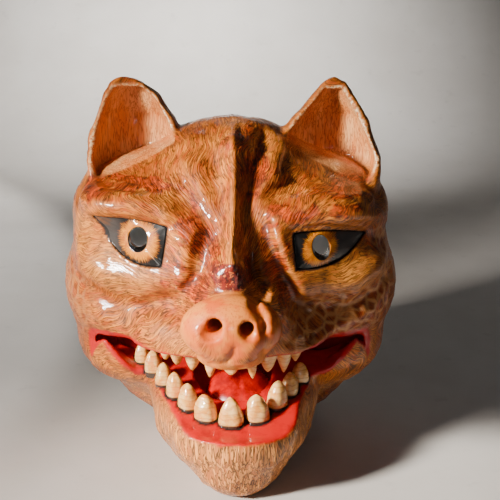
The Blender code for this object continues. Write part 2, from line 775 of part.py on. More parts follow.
def build_shell(paint):
    low = (-1.12 * HALF_WIDTH, -1.16 * FACE_DEPTH, -2 * WALL)
    high = (1.12 * HALF_WIDTH, RIM_BACK + WALL, 1.17 * CROWN_HEIGHT)
    points, faces = largest_body(*polygonise(shell, low, high, GRID_STEP))
    item = add_object("face_shell", points, faces, paint)
    even = item.modifiers.new("even", "SMOOTH")
    even.factor = 0.5
    even.iterations = SMOOTH_ROUNDS
    thin = item.modifiers.new("simplify", "DECIMATE")
    thin.ratio = SHELL_TRIANGLES / len(faces)
    far = 3 * HALF_WIDTH
    cuts = [
        ("back_cut", box((-far, RIM_BACK, -far), (far, far, far))),
        ("foot_cut", box((-far, -far, -far), (far, far, 0.0))),
        ("eye_sockets", joined([eye_socket(LEFT_EYE, LEFT_PUPIL), eye_socket(RIGHT_EYE, RIGHT_PUPIL)])),
        ("sight_holes", joined([pupil_bore(LEFT_EYE, LEFT_PUPIL), pupil_bore(RIGHT_EYE, RIGHT_PUPIL)])),
        ("nostril_holes", joined([nostril_shape(row) for row in NOSTRILS])),
        ("lower_sockets", joined([tooth_socket(row, 1) for row in LOWER_TEETH])),
        ("upper_sockets", joined([tooth_socket(row, -1) for row in UPPER_TEETH])),
        ("tongue_seat", tongue_seat()),
    ]
    for name, (cut_points, cut_faces) in cuts:
        subtract(item, as_cutter(add_object(name, cut_points, cut_faces)), name)
    return item


def build():
    clear_scene()
    build_shell(skin_paint())
    eyes = eye_paint()
    add_object("eye_left", *eye_shape(LEFT_EYE, LEFT_PUPIL), eyes)
    add_object("eye_right", *eye_shape(RIGHT_EYE, RIGHT_PUPIL), eyes)
    ivory = ivory_paint()
    for number, row in enumerate(LOWER_TEETH, 1):
        add_object(f"lower_tooth_{number}", *tooth_shape(row, 1), ivory)
    for number, row in enumerate(UPPER_TEETH, 1):
        add_object(f"upper_tooth_{number}", *tooth_shape(row, -1), ivory)
    add_object("tongue", *tongue_shape(), tongue_paint())


build()
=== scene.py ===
import math
from collections import namedtuple

import bmesh
import bpy
import numpy as np
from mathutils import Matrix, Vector


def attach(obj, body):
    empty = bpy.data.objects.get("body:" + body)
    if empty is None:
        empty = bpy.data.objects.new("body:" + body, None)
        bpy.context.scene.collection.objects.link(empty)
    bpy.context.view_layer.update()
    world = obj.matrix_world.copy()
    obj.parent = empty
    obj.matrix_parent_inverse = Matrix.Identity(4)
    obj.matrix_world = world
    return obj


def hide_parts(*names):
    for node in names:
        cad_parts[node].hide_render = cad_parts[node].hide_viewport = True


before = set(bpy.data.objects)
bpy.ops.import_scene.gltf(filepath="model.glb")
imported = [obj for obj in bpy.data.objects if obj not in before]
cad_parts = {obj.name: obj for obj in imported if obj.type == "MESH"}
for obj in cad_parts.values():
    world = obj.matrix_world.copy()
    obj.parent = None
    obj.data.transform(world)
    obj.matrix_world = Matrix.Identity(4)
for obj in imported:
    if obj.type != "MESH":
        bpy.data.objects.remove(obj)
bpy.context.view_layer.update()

# Driving sizes, in metres: the same as the part's source
HALF_WIDTH = 0.1
FACE_DEPTH = 0.1
CROWN_HEIGHT = 0.2
RIM_BACK = 0.052
WALL = 0.009
FINE_STEP = 0.0015


def rows_of(kind, rows):
    return [kind(*row) for row in rows]


# The lips and the mouth, in metres unless it says share
LIP_LOW = 0.041
LIP_SLOPE = 0.33
LIP_FRONT = -0.085
LIP_HIGH = 0.0755
LIP_HIGH_SLOPE = 0.12
MOUTH_BACK = -0.004
MOUTH_CORNER = 0.08
LIP_CORNER_START = 0.056
LIP_CORNER_RISE = 0.9
LIP_CORNER_BACK = -0.018
LIP_CORNER_FADE = 0.008
LIP_ROUND = 0.003
POCKET_ROUND = 0.006
LEDGE_WIDTH = 0.02
POCKET_DEPTH = 0.012
HOLLOW_FRONT = -0.048
FOOT_WALL = 0.01
HOLLOW_STRAIGHT = 0.042

# The ears
EAR_WALL = 0.004
EAR_DEEP_SHARE = 0.8
EAR_CUP_FLOOR = 0.16
EAR_CUP_SLOPE = 0.25
EAR_BITE = 0.002
EAR_FRONT_SHARE = 0.35
EAR_FRONT_ROUND = 0.0025
EAR_ROOT_SPAN = 0.012

# Joins between carved masses
HEAD_JAW_BLEND = 0.006
BRIDGE_BLEND = 0.005
SNOUT_BLEND = 0.004
EAR_BLEND = 0.005
CUT_BLEND = 0.002
EAR_TIP_BLEND = 0.006
EAR_RIM_BLEND = 0.003
EAR_ROOT_BLEND = 0.02

# Eyes
EYE_SIDE_STEPS = 16
EYE_THICK = 0.006
EYE_RECESS = 0.0012
EYE_BULGE = 0.0022
EYE_DROP_SHARE = 0.7
EYE_REACH = 0.012
EYE_ROUND = 96
EYE_RINGS = 16
EYE_EDGE_GAP = 0.00025
EYE_EDGE_STEP = 0.00012
EYE_DOME = 1.15
EYE_SKIRT = 0.003
EYE_LIP = 0.0006
WALL_STEPS = [1.04, 1.2]
PUPIL_WALL_SHARE = 0.985

# Teeth
TOOTH_ROOT = 0.0045
TOOTH_NECK = 0.9
TOOTH_RINGS = 22
TOOTH_ROUND = 36
TOOTH_FLARE = 1.02
TOOTH_SQUARE = 2.6
TOOTH_WOBBLE = 0.0003
TOOTH_LEAN = 0.16
TOOTH_BELLY_TOP = 0.35
TOOTH_CLOSE_FROM = 0.25
TOOTH_TAPER = 0.55

# Tongue
TONGUE_MIDDLE = (0.006, -0.04)
TONGUE_HALF_WIDTH = 0.02
TONGUE_HALF_LENGTH = 0.0215
TONGUE_HEIGHT = 0.0185
TONGUE_SEAT = 0.0012
TONGUE_RINGS = 26
TONGUE_ROUND = 72
TONGUE_GROOVE = 0.001
TONGUE_RIPPLE = 0.00075
TONGUE_LUMPS = 0.0005

SIZES = np.array([HALF_WIDTH, FACE_DEPTH, CROWN_HEIGHT])

# Places and radii below are shares of half width, face depth and crown height, in that order.
# A blend is a share of half width. A mass whose middle lies off the middle line has a twin across it.
Mass = namedtuple("Mass", "middle radii blend")
HEAD_MASSES = rows_of(Mass, [
    ((0.0, 0.12, 0.645), (0.92, 0.74, 0.33), 0.1),
    ((0.02, 0.08, 0.86), (0.4, 0.4, 0.145), 0.14),
    ((0.58, 0.12, 0.74), (0.36, 0.42, 0.15), 0.1),
    ((0.52, 0.16, 0.5), (0.495, 0.55, 0.24), 0.1),
    ((0.56, -0.16, 0.6), (0.34, 0.27, 0.115), 0.06),
    ((0.5, -0.2, 0.8), (0.36, 0.26, 0.07), 0.07),
    ((0.0, -0.22, 0.45), (0.6, 0.57, 0.125), 0.08),
])
JAW_MASSES = rows_of(Mass, [
    ((0.0, 0.28, 0.31), (0.84, 0.48, 0.33), 0.08),
    ((0.02, -0.2, 0.2), (0.5, 0.58, 0.255), 0.1),
    ((0.52, 0.16, 0.335), (0.43, 0.5, 0.165), 0.08),
    ((0.05, -0.6, 0.175), (0.385, 0.345, 0.14), 0.08),
    ((0.05, -0.6, 0.08), (0.26, 0.29, 0.1), 0.08),
])
TWIN_FROM = 0.1
SNOUT_PAD = Mass((0.02, -0.89, 0.538), (0.275, 0.165, 0.092), 0.07)
SNOUT_LIP = Mass((0.02, -0.87, 0.465), (0.2, 0.14, 0.045), 0.04)

# Rounded bars: places in shares as above, radii as shares of half width.
Bar = namedtuple("Bar", "places radii")
MUZZLE = Bar([(0.0, -0.05, 0.56), (0.01, -0.58, 0.525)], [0.52, 0.29])
MUZZLE_BLEND = 0.12
NOSE_BRIDGE = Bar([(0.02, -0.2, 0.93), (0.025, -0.44, 0.77), (0.02, -0.66, 0.655)], [0.11, 0.1, 0.14])

# Ear sections from the root up: height is a share of crown height, edges are shares of half width
# measured outwards from the middle line, lean is a share of face depth towards the back.
EarSection = namedtuple("EarSection", "height outer inner lean")
LEFT_EAR = rows_of(EarSection, [
    (0.7, 0.8, 0.3, 0.0),
    (0.82, 0.835, 0.21, 0.02),
    (0.9, 0.84, 0.225, 0.05),
    (0.97, 0.82, 0.3, 0.09),
    (1.0, 0.8, 0.32, 0.11),
    (1.07, 0.745, 0.41, 0.14),
    (1.105, 0.7, 0.5, 0.155),
    (1.13, 0.655, 0.575, 0.16),
])
RIGHT_EAR = rows_of(EarSection, [
    (0.7, 0.86, 0.32, 0.0),
    (0.82, 0.885, 0.235, 0.02),
    (0.9, 0.89, 0.245, 0.05),
    (0.97, 0.83, 0.31, 0.09),
    (1.0, 0.81, 0.355, 0.11),
    (1.06, 0.74, 0.47, 0.14),
    (1.1, 0.69, 0.53, 0.155),
    (1.125, 0.645, 0.57, 0.16),
])
EARS = ((LEFT_EAR, -1), (RIGHT_EAR, 1))
EAR_TIP_GAP = 0.007

# Folds carved in the front: places across and up as shares, then width and height as shares of half width.
# A height under zero is a groove.
Fold = namedtuple("Fold", "places width height")
FOLDS = rows_of(Fold, [
    ([(-0.25, 0.85), (-0.16, 0.8), (-0.08, 0.745)], 0.05, -0.05),
    ([(0.36, 0.855), (0.22, 0.81), (0.11, 0.735)], 0.05, -0.055),
    ([(-0.11, 0.97), (-0.07, 0.89), (-0.04, 0.8)], 0.06, -0.03),
    ([(0.19, 0.96), (0.14, 0.88), (0.1, 0.78), (0.12, 0.65)], 0.045, -0.05),
    ([(-0.79, 0.85), (-0.57, 0.868), (-0.38, 0.85), (-0.22, 0.815)], 0.04, -0.028),
    ([(-0.74, 0.822), (-0.54, 0.822), (-0.36, 0.8)], 0.06, 0.045),
    ([(0.24, 0.8), (0.45, 0.808), (0.72, 0.79), (0.86, 0.745)], 0.06, 0.05),
    ([(0.22, 0.845), (0.42, 0.858), (0.66, 0.85), (0.84, 0.79)], 0.04, -0.03),
    ([(0.19, 0.757), (0.26, 0.676), (0.345, 0.591), (0.46, 0.45)], 0.045, -0.06),
    ([(0.28, 0.74), (0.34, 0.64), (0.44, 0.56)], 0.05, 0.035),
    ([(-0.13, 0.74), (-0.17, 0.67), (-0.21, 0.61), (-0.28, 0.53)], 0.06, -0.03),
    ([(-0.25, 0.73), (-0.24, 0.65)], 0.07, 0.035),
    ([(-0.86, 0.66), (-0.7, 0.612), (-0.5, 0.598), (-0.33, 0.625)], 0.07, 0.03),
    ([(-0.86, 0.56), (-0.7, 0.525), (-0.5, 0.518), (-0.33, 0.56)], 0.05, -0.028),
    ([(0.88, 0.62), (0.72, 0.585), (0.56, 0.585), (0.44, 0.608)], 0.07, 0.03),
    ([(0.9, 0.545), (0.74, 0.505), (0.56, 0.505), (0.45, 0.54)], 0.05, -0.025),
    ([(-0.74, 0.455), (-0.48, 0.405), (-0.32, 0.405)], 0.06, 0.03),
    ([(0.78, 0.465), (0.52, 0.425), (0.36, 0.415)], 0.06, 0.03),
])
FOLD_MOST = 0.005
FOLD_FADE_START = 0.02
FOLD_FADE_SPAN = 0.03

# Eye corners going round, and the point that pulls the side to the next corner outwards.
EyeSide = namedtuple("EyeSide", "corner pull")
LEFT_EYE = [
    EyeSide((-0.773, 0.773), (-0.556, 0.789)),
    EyeSide((-0.339, 0.765), (-0.349, 0.713)),
    EyeSide((-0.372, 0.657), (-0.628, 0.625)),
]
RIGHT_EYE = [
    EyeSide((0.358, 0.746), (0.577, 0.751)),
    EyeSide((0.781, 0.712), (0.621, 0.618)),
    EyeSide((0.378, 0.65), (0.364, 0.7)),
]
# Pupils: middle across and up as shares, half width and height as shares of half width, lean in degrees.
Pupil = namedtuple("Pupil", "middle half_width half_height lean")
LEFT_PUPIL = Pupil((-0.506, 0.724), 0.055, 0.07, 18.0)
RIGHT_PUPIL = Pupil((0.517, 0.701), 0.047, 0.072, -18.0)
# The iris's middle as shares, and its radius as a share of half width
LEFT_IRIS = ((-0.5, 0.722), 0.122)
RIGHT_IRIS = ((0.513, 0.699), 0.105)

# Teeth: middle across and back as shares of half width and face depth, size as shares of half width,
# point is the share of the belly's width left at the top.
Tooth = namedtuple("Tooth", "x y width thick height point")
LOWER_TEETH = rows_of(Tooth, [
    (-0.525, -0.22, 0.085, 0.085, 0.105, 0.6),
    (-0.452, -0.304, 0.102, 0.1, 0.12, 0.6),
    (-0.385, -0.4, 0.116, 0.1, 0.11, 0.55),
    (-0.315, -0.5, 0.12, 0.1, 0.13, 0.55),
    (-0.235, -0.6, 0.122, 0.105, 0.135, 0.55),
    (-0.13, -0.69, 0.132, 0.11, 0.135, 0.55),
    (0.015, -0.735, 0.142, 0.11, 0.155, 0.3),
    (0.165, -0.7, 0.136, 0.11, 0.145, 0.55),
    (0.275, -0.595, 0.124, 0.105, 0.145, 0.5),
    (0.35, -0.485, 0.12, 0.1, 0.115, 0.5),
    (0.415, -0.375, 0.112, 0.1, 0.095, 0.55),
])
UPPER_TEETH = rows_of(Tooth, [
    (-0.37, -0.39, 0.105, 0.09, 0.12, 0.35),
    (-0.3, -0.495, 0.105, 0.09, 0.12, 0.3),
    (-0.205, -0.59, 0.1, 0.09, 0.125, 0.3),
    (-0.095, -0.655, 0.085, 0.085, 0.15, 0.15),
    (0.015, -0.68, 0.11, 0.09, 0.125, 0.6),
    (0.125, -0.665, 0.07, 0.085, 0.155, 0.12),
    (0.225, -0.6, 0.105, 0.09, 0.13, 0.3),
    (0.315, -0.5, 0.095, 0.09, 0.165, 0.2),
    (0.385, -0.395, 0.095, 0.09, 0.13, 0.25),
])

# Shape functions: each takes points in rows and returns how far each lies outside the shape
def blend(first, second, width):
    share = np.clip(0.5 + 0.5 * (second - first) / width, 0.0, 1.0)
    return second * (1 - share) + first * share - width * share * (1 - share)


def shared(first, second, width):
    return -blend(-first, -second, width)


def carve(solid, cut, width):
    return shared(solid, -cut, width)


def ease(value):
    value = np.clip(value, 0.0, 1.0)
    return value * value * (3 - 2 * value)


def rise(value, start, span):
    """0 up to the start, then rising to 1 over the span."""
    return ease((value - start) / span)


def fall(value, end, span):
    """0 beyond the end, 1 from a span before it."""
    return ease((end - value) / span)


def ellipsoid(points, mass):
    radii = np.array(mass.radii) * SIZES
    offset = points - np.array(mass.middle) * SIZES
    reach = np.linalg.norm(offset / radii, axis=1)
    slope = np.linalg.norm(offset / radii**2, axis=1)
    return reach * (reach - 1) / np.maximum(slope, 1e-9)


def tapered(points, places, radii):
    """How far points lie from a line of places whose radius changes evenly between them."""
    nearest = None
    for start, end, first, last in zip(places, places[1:], radii, radii[1:]):
        along = end - start
        share = np.clip(((points - start) @ along) / (along @ along), 0.0, 1.0)
        gap = np.linalg.norm(points - start - share[:, None] * along, axis=1)
        gap -= first + (last - first) * share
        nearest = gap if nearest is None else np.minimum(nearest, gap)
    return nearest


def bar(points, shape):
    return tapered(points, np.array(shape.places) * SIZES, np.array(shape.radii) * HALF_WIDTH)


def masses(points, rows):
    across = points.copy()
    across[:, 0] = np.abs(across[:, 0])
    total = None
    for row in rows:
        part = ellipsoid(across if row.middle[0] > TWIN_FROM else points, row)
        total = part if total is None else blend(total, part, row.blend * HALF_WIDTH)
    return total


def head(points):
    return blend(masses(points, HEAD_MASSES), bar(points, MUZZLE), MUZZLE_BLEND * HALF_WIDTH)


def jaw(points):
    return masses(points, JAW_MASSES)


def creases(points, rows):
    relief = np.zeros(len(points))
    for row in rows:
        places = np.array(row.places) * SIZES[[0, 2]]
        gap = tapered(points[:, [0, 2]], places, np.zeros(len(places)))
        relief += row.height * HALF_WIDTH * np.exp(-((gap / (row.width * HALF_WIDTH)) ** 2))
    return relief


def fold_relief(points):
    relief = FOLD_MOST * np.tanh(creases(points, FOLDS) / FOLD_MOST)
    return relief * fall(points[:, 1], FOLD_FADE_START, FOLD_FADE_SPAN)


def skin(points):
    total = blend(head(points), bar(points, NOSE_BRIDGE), BRIDGE_BLEND)
    total = blend(total, jaw(points), HEAD_JAW_BLEND)
    return total - fold_relief(points)


def ear(points, rows, side):
    across = points[:, 0] * side
    up = points[:, 2]
    heights = np.array([row.height for row in rows]) * CROWN_HEIGHT
    outer = np.interp(up, heights, [row.outer * HALF_WIDTH for row in rows])
    inner = np.interp(up, heights, [row.inner * HALF_WIDTH for row in rows])
    lean = np.interp(up, heights, [row.lean * FACE_DEPTH for row in rows])
    middle = (outer + inner) / 2
    wide = (outer - inner) / 2
    deep = wide * EAR_DEEP_SHARE + EAR_BITE
    reach = np.hypot((across - middle) / wide, (points[:, 1] - lean) / deep)
    leaf = (reach - 1) * np.minimum(wide, deep)
    leaf = shared(leaf, lean - EAR_FRONT_SHARE * deep - points[:, 1], EAR_FRONT_ROUND)
    leaf = shared(leaf, up - heights[-1], EAR_TIP_BLEND)
    leaf = shared(leaf, heights[0] + EAR_ROOT_SPAN - up, EAR_ROOT_BLEND)
    thin = np.maximum(wide - EAR_WALL, EAR_WALL / 10)
    shallow = np.maximum(deep - EAR_WALL, EAR_WALL / 10)
    behind = np.maximum(points[:, 1] - lean, 0.0)
    reach = np.hypot((across - middle) / thin, behind / shallow)
    scoop = (reach - 1) * np.minimum(thin, shallow)
    scoop = np.maximum(scoop, up - heights[-1] + EAR_TIP_GAP)
    floor = EAR_CUP_FLOOR - up - EAR_CUP_SLOPE * points[:, 1]
    return leaf, shared(scoop, floor, EAR_ROOT_BLEND)


def lip_low(back):
    return LIP_LOW + LIP_SLOPE * np.maximum(back - LIP_FRONT, 0.0)


def lip_high(back):
    return LIP_HIGH - LIP_HIGH_SLOPE * back


def lip_corner(across, back):
    """How far the lower lip lifts toward a corner of the mouth, in the front of the cheek alone."""
    front = np.clip((LIP_CORNER_BACK - back) / LIP_CORNER_FADE, 0.0, 1.0)
    return LIP_CORNER_RISE * front * np.maximum(np.abs(across) - LIP_CORNER_START, 0.0)


def mouth(points):
    across, back, up = points.T
    low = lip_low(back) + lip_corner(across, back)
    gap = shared(low - up, up - lip_high(back), LIP_ROUND)
    gap = shared(gap, back - MOUTH_BACK, POCKET_ROUND)
    return shared(gap, np.abs(across) - MOUTH_CORNER, POCKET_ROUND)


def pocket(points):
    back, up = points[:, 1], points[:, 2]
    gap = shared(jaw(points) + LEDGE_WIDTH, lip_low(back) - POCKET_DEPTH - up, LIP_ROUND)
    gap = np.maximum(gap, up - lip_high(back))
    return np.maximum(gap, back - MOUTH_BACK)


def outside(points):
    total = skin(points)
    scoops = None
    for rows, side in EARS:
        leaf, scoop = ear(points, rows, side)
        total = blend(total, leaf, EAR_BLEND)
        scoops = scoop if scoops is None else np.minimum(scoops, scoop)
    scoops = np.maximum(scoops, -(head(points) + EAR_BITE))
    total = carve(total, scoops, EAR_RIM_BLEND)
    total = carve(total, mouth(points), CUT_BLEND)
    total = carve(total, pocket(points), CUT_BLEND)
    total = blend(total, ellipsoid(points, SNOUT_PAD), SNOUT_BLEND)
    return blend(total, ellipsoid(points, SNOUT_LIP), SNOUT_LIP.blend * HALF_WIDTH)


def hollow(points):
    points = points.copy()
    points[:, 1] = np.minimum(points[:, 1], HOLLOW_STRAIGHT)
    inside = blend(head(points), jaw(points), HEAD_JAW_BLEND)
    mouth_wall = np.minimum(mouth(points), pocket(points))
    room = np.maximum(inside + WALL, WALL - mouth_wall)
    room = np.maximum(room, FOOT_WALL - points[:, 2])
    return np.maximum(room, HOLLOW_FRONT - points[:, 1])


def front_of(across, up, shape):
    """How far back the front of a shape lies, for each place across and up."""
    across = np.asarray(across, float)
    up = np.asarray(up, float)
    near = np.full(len(across), -2 * FACE_DEPTH)
    far = np.zeros(len(across))
    for _ in range(40):
        middle = (near + far) / 2
        within = shape(np.stack([across, middle, up], axis=1)) < 0
        far = np.where(within, middle, far)
        near = np.where(within, near, middle)
    return (near + far) / 2


# Folds that only the fine surface carries, in the same columns
FINE_FOLDS = rows_of(Fold, [
    ([(0.02, 0.99), (0.03, 0.9), (0.02, 0.8), (0.025, 0.7)], 0.03, 0.034),
    ([(0.1, 0.83), (0.085, 0.74), (0.13, 0.65), (0.19, 0.605)], 0.03, -0.04),
    ([(-0.32, 0.905), (-0.22, 0.86), (-0.14, 0.8)], 0.022, -0.016),
    ([(-0.17, 0.76), (-0.22, 0.735), (-0.3, 0.745)], 0.035, 0.016),
    ([(0.24, 0.59), (0.33, 0.52), (0.4, 0.47)], 0.045, 0.022),
    ([(-0.62, 0.9), (-0.42, 0.885), (-0.28, 0.85)], 0.018, -0.01),
    ([(0.6, 0.87), (0.76, 0.845), (0.88, 0.8)], 0.03, -0.03),
    ([(0.34, 0.78), (0.56, 0.775), (0.78, 0.738)], 0.022, 0.016),
    ([(-0.36, 0.79), (-0.58, 0.806), (-0.8, 0.79)], 0.022, 0.012),
])
FOLDS = FOLDS + FINE_FOLDS

# Nostrils: a shallow bowl and a deep hole each, in shares as the masses are
NOSTRIL_BOWLS = rows_of(Mass, [
    ((-0.09, -1.05, 0.558), (0.062, 0.045, 0.029), 0.0),
    ((0.118, -1.05, 0.562), (0.044, 0.04, 0.031), 0.0),
])
NOSTRIL_HOLES = [
    Bar([(-0.07, -1.08, 0.57), (-0.056, -0.78, 0.56)], [0.046, 0.034]),
    Bar([(0.106, -1.08, 0.563), (0.094, -0.78, 0.556)], [0.042, 0.032]),
]
BOWL_BLEND = 0.0016
HOLE_BLEND = 0.001
SNOUT_CREASE_END = (-0.07, 0.012)
# The snout's creases, held as places across and up, with width and depth as shares of half width
SNOUT_CREASES = rows_of(Fold, [
    ([(0.04, 0.512), (0.028, 0.49), (-0.01, 0.462), (-0.085, 0.452)], 0.018, -0.012),
    ([(0.135, 0.615), (0.185, 0.585), (0.19, 0.56)], 0.022, -0.026),
    ([(0.19, 0.56), (0.215, 0.52), (0.19, 0.48)], 0.02, -0.012),
    ([(-0.19, 0.47), (-0.06, 0.445), (0.08, 0.44), (0.2, 0.462)], 0.022, -0.012),
    ([(-0.15, 0.545), (-0.12, 0.5), (-0.05, 0.48)], 0.05, 0.012),
    ([(0.13, 0.51), (0.1, 0.475)], 0.05, 0.012),
])


# Noise from hashed cells, about -1 to 1, with the cell's size given per axis
def hashed(cell, seed):
    mixed = cell[:, 0] * 374761393 + cell[:, 1] * 668265263 + cell[:, 2] * 362437 + seed * 974711
    mixed = (mixed ^ (mixed >> 13)) * 1274126177
    mixed = (mixed ^ (mixed >> 16)) & 0xFFFFFF
    return mixed / float(0xFFFFFF)


def noise(places, cell_size, seed=0):
    spots = np.asarray(places) / np.asarray(cell_size)
    base = np.floor(spots).astype(np.int64)
    part = ease(spots - base)
    total = np.zeros(len(spots))
    for corner in np.ndindex(2, 2, 2):
        weight = np.prod(np.where(np.array(corner) == 1, part, 1 - part), axis=1)
        total += weight * hashed(base + np.array(corner), seed)
    return total * 2 - 1


def cell_edges(places, cell_size, seed=0):
    """How far each place lies from the edges between jittered cells, in cells."""
    spots = np.asarray(places) / np.asarray(cell_size)
    base = np.floor(spots).astype(np.int64)
    first = np.full(len(spots), 9.0)
    second = np.full(len(spots), 9.0)
    for step in np.ndindex(3, 3, 3):
        cell = base + np.array(step) - 1
        jitter = np.stack([hashed(cell, seed + k) for k in (1, 2, 3)], axis=1)
        gap = np.linalg.norm(cell + jitter - spots, axis=1)
        second = np.minimum(second, np.maximum(first, gap))
        first = np.minimum(first, gap)
    return second - first


# Eyes: outline, pupil and the sockets that they sit in
def eye_outline(sides):
    flat = []
    for k, side in enumerate(sides):
        start = np.array(side.corner)
        end = np.array(sides[(k + 1) % len(sides)].corner)
        pull = np.array(side.pull)
        for step in range(EYE_SIDE_STEPS):
            t = step / EYE_SIDE_STEPS
            flat.append(start * (1 - t) ** 2 + pull * 2 * t * (1 - t) + end * t * t)
    return np.array(flat) * SIZES[[0, 2]]


def polygon_gap(flat, outline):
    """Signed distance from a closed outline, under zero within it."""
    nearest = np.full(len(flat), 1e9)
    within = np.zeros(len(flat), bool)
    for start, end in zip(outline, np.roll(outline, -1, axis=0)):
        along = end - start
        away = flat - start
        share = np.clip((away @ along) / (along @ along), 0.0, 1.0)
        nearest = np.minimum(nearest, ((away - share[:, None] * along) ** 2).sum(1))
        crosses = (start[1] > flat[:, 1]) != (end[1] > flat[:, 1])
        if crosses.any():
            reach = start[0] + (flat[:, 1] - start[1]) / (along[1] or 1e-12) * along[0]
            within ^= crosses & (flat[:, 0] < reach)
    return np.where(within, -1, 1) * np.sqrt(nearest)


def turned(across, up, angle):
    c, s = math.cos(angle), math.sin(angle)
    return across * c - up * s, across * s + up * c


def pupil_reach(away, pupil):
    """How far places lie from a pupil's middle, in shares of its radius."""
    across, up = turned(away[:, 0], away[:, 1], math.radians(pupil.lean))
    return np.hypot(across / (pupil.half_width * HALF_WIDTH), up / (pupil.half_height * HALF_WIDTH))


def pupil_gap(points, pupil):
    away = points[:, [0, 2]] - np.array(pupil.middle) * SIZES[[0, 2]]
    return (pupil_reach(away, pupil) - 1) * min(pupil.half_width, pupil.half_height) * HALF_WIDTH


def eye_plane(outline):
    front = front_of(outline[:, 0], outline[:, 1], skin)
    table = np.stack([np.ones(len(outline)), outline[:, 0], outline[:, 1]], axis=1)
    return np.linalg.lstsq(table, front, rcond=None)[0]


Eye = namedtuple("Eye", "name node outline pupil plane iris iris_radius")


def make_eyes():
    rows = []
    for name, sides, pupil, iris in (
        ("left", LEFT_EYE, LEFT_PUPIL, LEFT_IRIS),
        ("right", RIGHT_EYE, RIGHT_PUPIL, RIGHT_IRIS),
    ):
        outline = eye_outline(sides)
        rows.append(Eye(name, "eye_" + name, outline, pupil, eye_plane(outline), *iris))
    return rows


EYES = make_eyes()


def on_plane(plane, across, up):
    return plane[0] + across * plane[1] + up * plane[2]


def socket_gap(points, eye):
    across, back, up = points.T
    low = eye.outline.min(0) - EYE_REACH
    high = eye.outline.max(0) + EYE_REACH
    near = (across > low[0]) & (across < high[0]) & (up > low[1]) & (up < high[1]) & (back < FACE_DEPTH / 5)
    gap = np.full(len(points), EYE_REACH)
    if near.any():
        side = polygon_gap(points[near][:, [0, 2]], eye.outline)
        floor = back[near] - on_plane(eye.plane, across[near], up[near]) - EYE_THICK * EYE_DROP_SHARE
        gap[near] = np.maximum(side, floor)
    return gap


def front_surface(points):
    """Everything seen from outside: skin, ears, mouth, snout, nostrils and eye sockets."""
    total = outside(points)
    total -= creases(points, SNOUT_CREASES) * fall(points[:, 1], *SNOUT_CREASE_END)
    for bowl, hole in zip(NOSTRIL_BOWLS, NOSTRIL_HOLES):
        total = carve(total, blend(ellipsoid(points, bowl), bar(points, hole), HOLE_BLEND), BOWL_BLEND)
    for eye in EYES:
        total = np.maximum(total, -socket_gap(points, eye))
    return total


def whole(points):
    total = carve(front_surface(points), hollow(points), CUT_BLEND)
    for eye in EYES:
        total = np.maximum(total, -pupil_gap(points, eye.pupil))
    total = np.maximum(total, points[:, 1] - RIM_BACK)
    return np.maximum(total, -points[:, 2])


# A shape function turned into a fine mesh: one point for each grid cell that the surface crosses
def meshed(shape, low, high, step, block=5):
    low = np.array(low, float)
    counts = np.ceil((np.array(high) - low) / step / block).astype(int) * block + 1
    cells = (counts - 1) // block
    places = np.stack(np.meshgrid(*[np.arange(n) for n in cells], indexing="ij"), -1).reshape(-1, 3)
    middles = shape(low + (places + 0.5) * block * step)
    filled = np.where(middles < 0, -1.0, 1.0).reshape(cells).astype(np.float32)
    values = np.ones(counts, np.float32)
    values[:-1, :-1, :-1] = np.repeat(np.repeat(np.repeat(filled, block, 0), block, 1), block, 2)
    ticks = np.arange(block + 1)
    offsets = np.stack(np.meshgrid(ticks, ticks, ticks, indexing="ij"), -1).reshape(-1, 3)
    near = places[np.abs(middles) < block * step * 1.2] * block
    batch = max(1, 500000 // len(offsets))
    for start in range(0, len(near), batch):
        spots = (near[start : start + batch, None, :] + offsets[None]).reshape(-1, 3)
        values[tuple(spots.T)] = shape(low + spots * step)
    inside = values < 0
    size = counts - 1
    count = sum(
        inside[a : size[0] + a, b : size[1] + b, c : size[2] + c].astype(np.int8)
        for a, b, c in np.ndindex(2, 2, 2)
    )
    crossed = (count > 0) & (count < 8)
    cell = np.argwhere(crossed)
    index = np.full(crossed.shape, -1, np.int64)
    index[crossed] = np.arange(len(cell))
    corners = np.array(list(np.ndindex(2, 2, 2)))
    total = np.zeros((len(cell), 3))
    hits = np.zeros(len(cell))
    for i in range(8):
        for j in range(i + 1, 8):
            if np.abs(corners[i] - corners[j]).sum() != 1:
                continue
            first = values[tuple((cell + corners[i]).T)].astype(float)
            second = values[tuple((cell + corners[j]).T)].astype(float)
            cut = (first < 0) != (second < 0)
            share = first[cut] / (first[cut] - second[cut])
            total[cut] += corners[i] + (corners[j] - corners[i]) * share[:, None]
            hits[cut] += 1
    points = low + (cell + total / hits[:, None]) * step
    faces = []
    for axis in range(3):
        first, second = [k for k in range(3) if k != axis]
        span = [slice(1, counts[k] - 1) for k in range(3)]
        span[axis] = slice(0, counts[axis] - 1)
        ahead = list(span)
        ahead[axis] = slice(1, counts[axis])
        here = inside[tuple(span)]
        edges = np.argwhere(here != inside[tuple(ahead)])
        solid = here[tuple(edges.T)]
        base = edges.copy()
        base[:, [first, second]] += 1
        ring = []
        for back_first, back_second in ((0, 0), (1, 0), (1, 1), (0, 1)):
            spot = base.copy()
            spot[:, first] -= back_first
            spot[:, second] -= back_second
            ring.append(index[tuple(spot.T)])
        ring = np.stack(ring, axis=1)
        swapped = ~solid if axis != 1 else solid
        ring[swapped] = ring[swapped][:, ::-1]
        faces.append(ring)
    return points, np.concatenate(faces)


def slope(shape, points, reach=1e-4):
    ways = [shape(points + step) - shape(points - step) for step in np.eye(3) * reach]
    return np.stack(ways, axis=1) / (2 * reach)


def settled(shape, points, rounds, most):
    """Points moved on to the surface that a shape function gives."""
    for _ in range(rounds):
        ways = slope(shape, points)
        move = -(shape(points) / np.maximum((ways**2).sum(1), 0.05))[:, None] * ways
        length = np.linalg.norm(move, axis=1)
        points = points + move * np.minimum(1, most / np.maximum(length, 1e-12))[:, None]
    return points


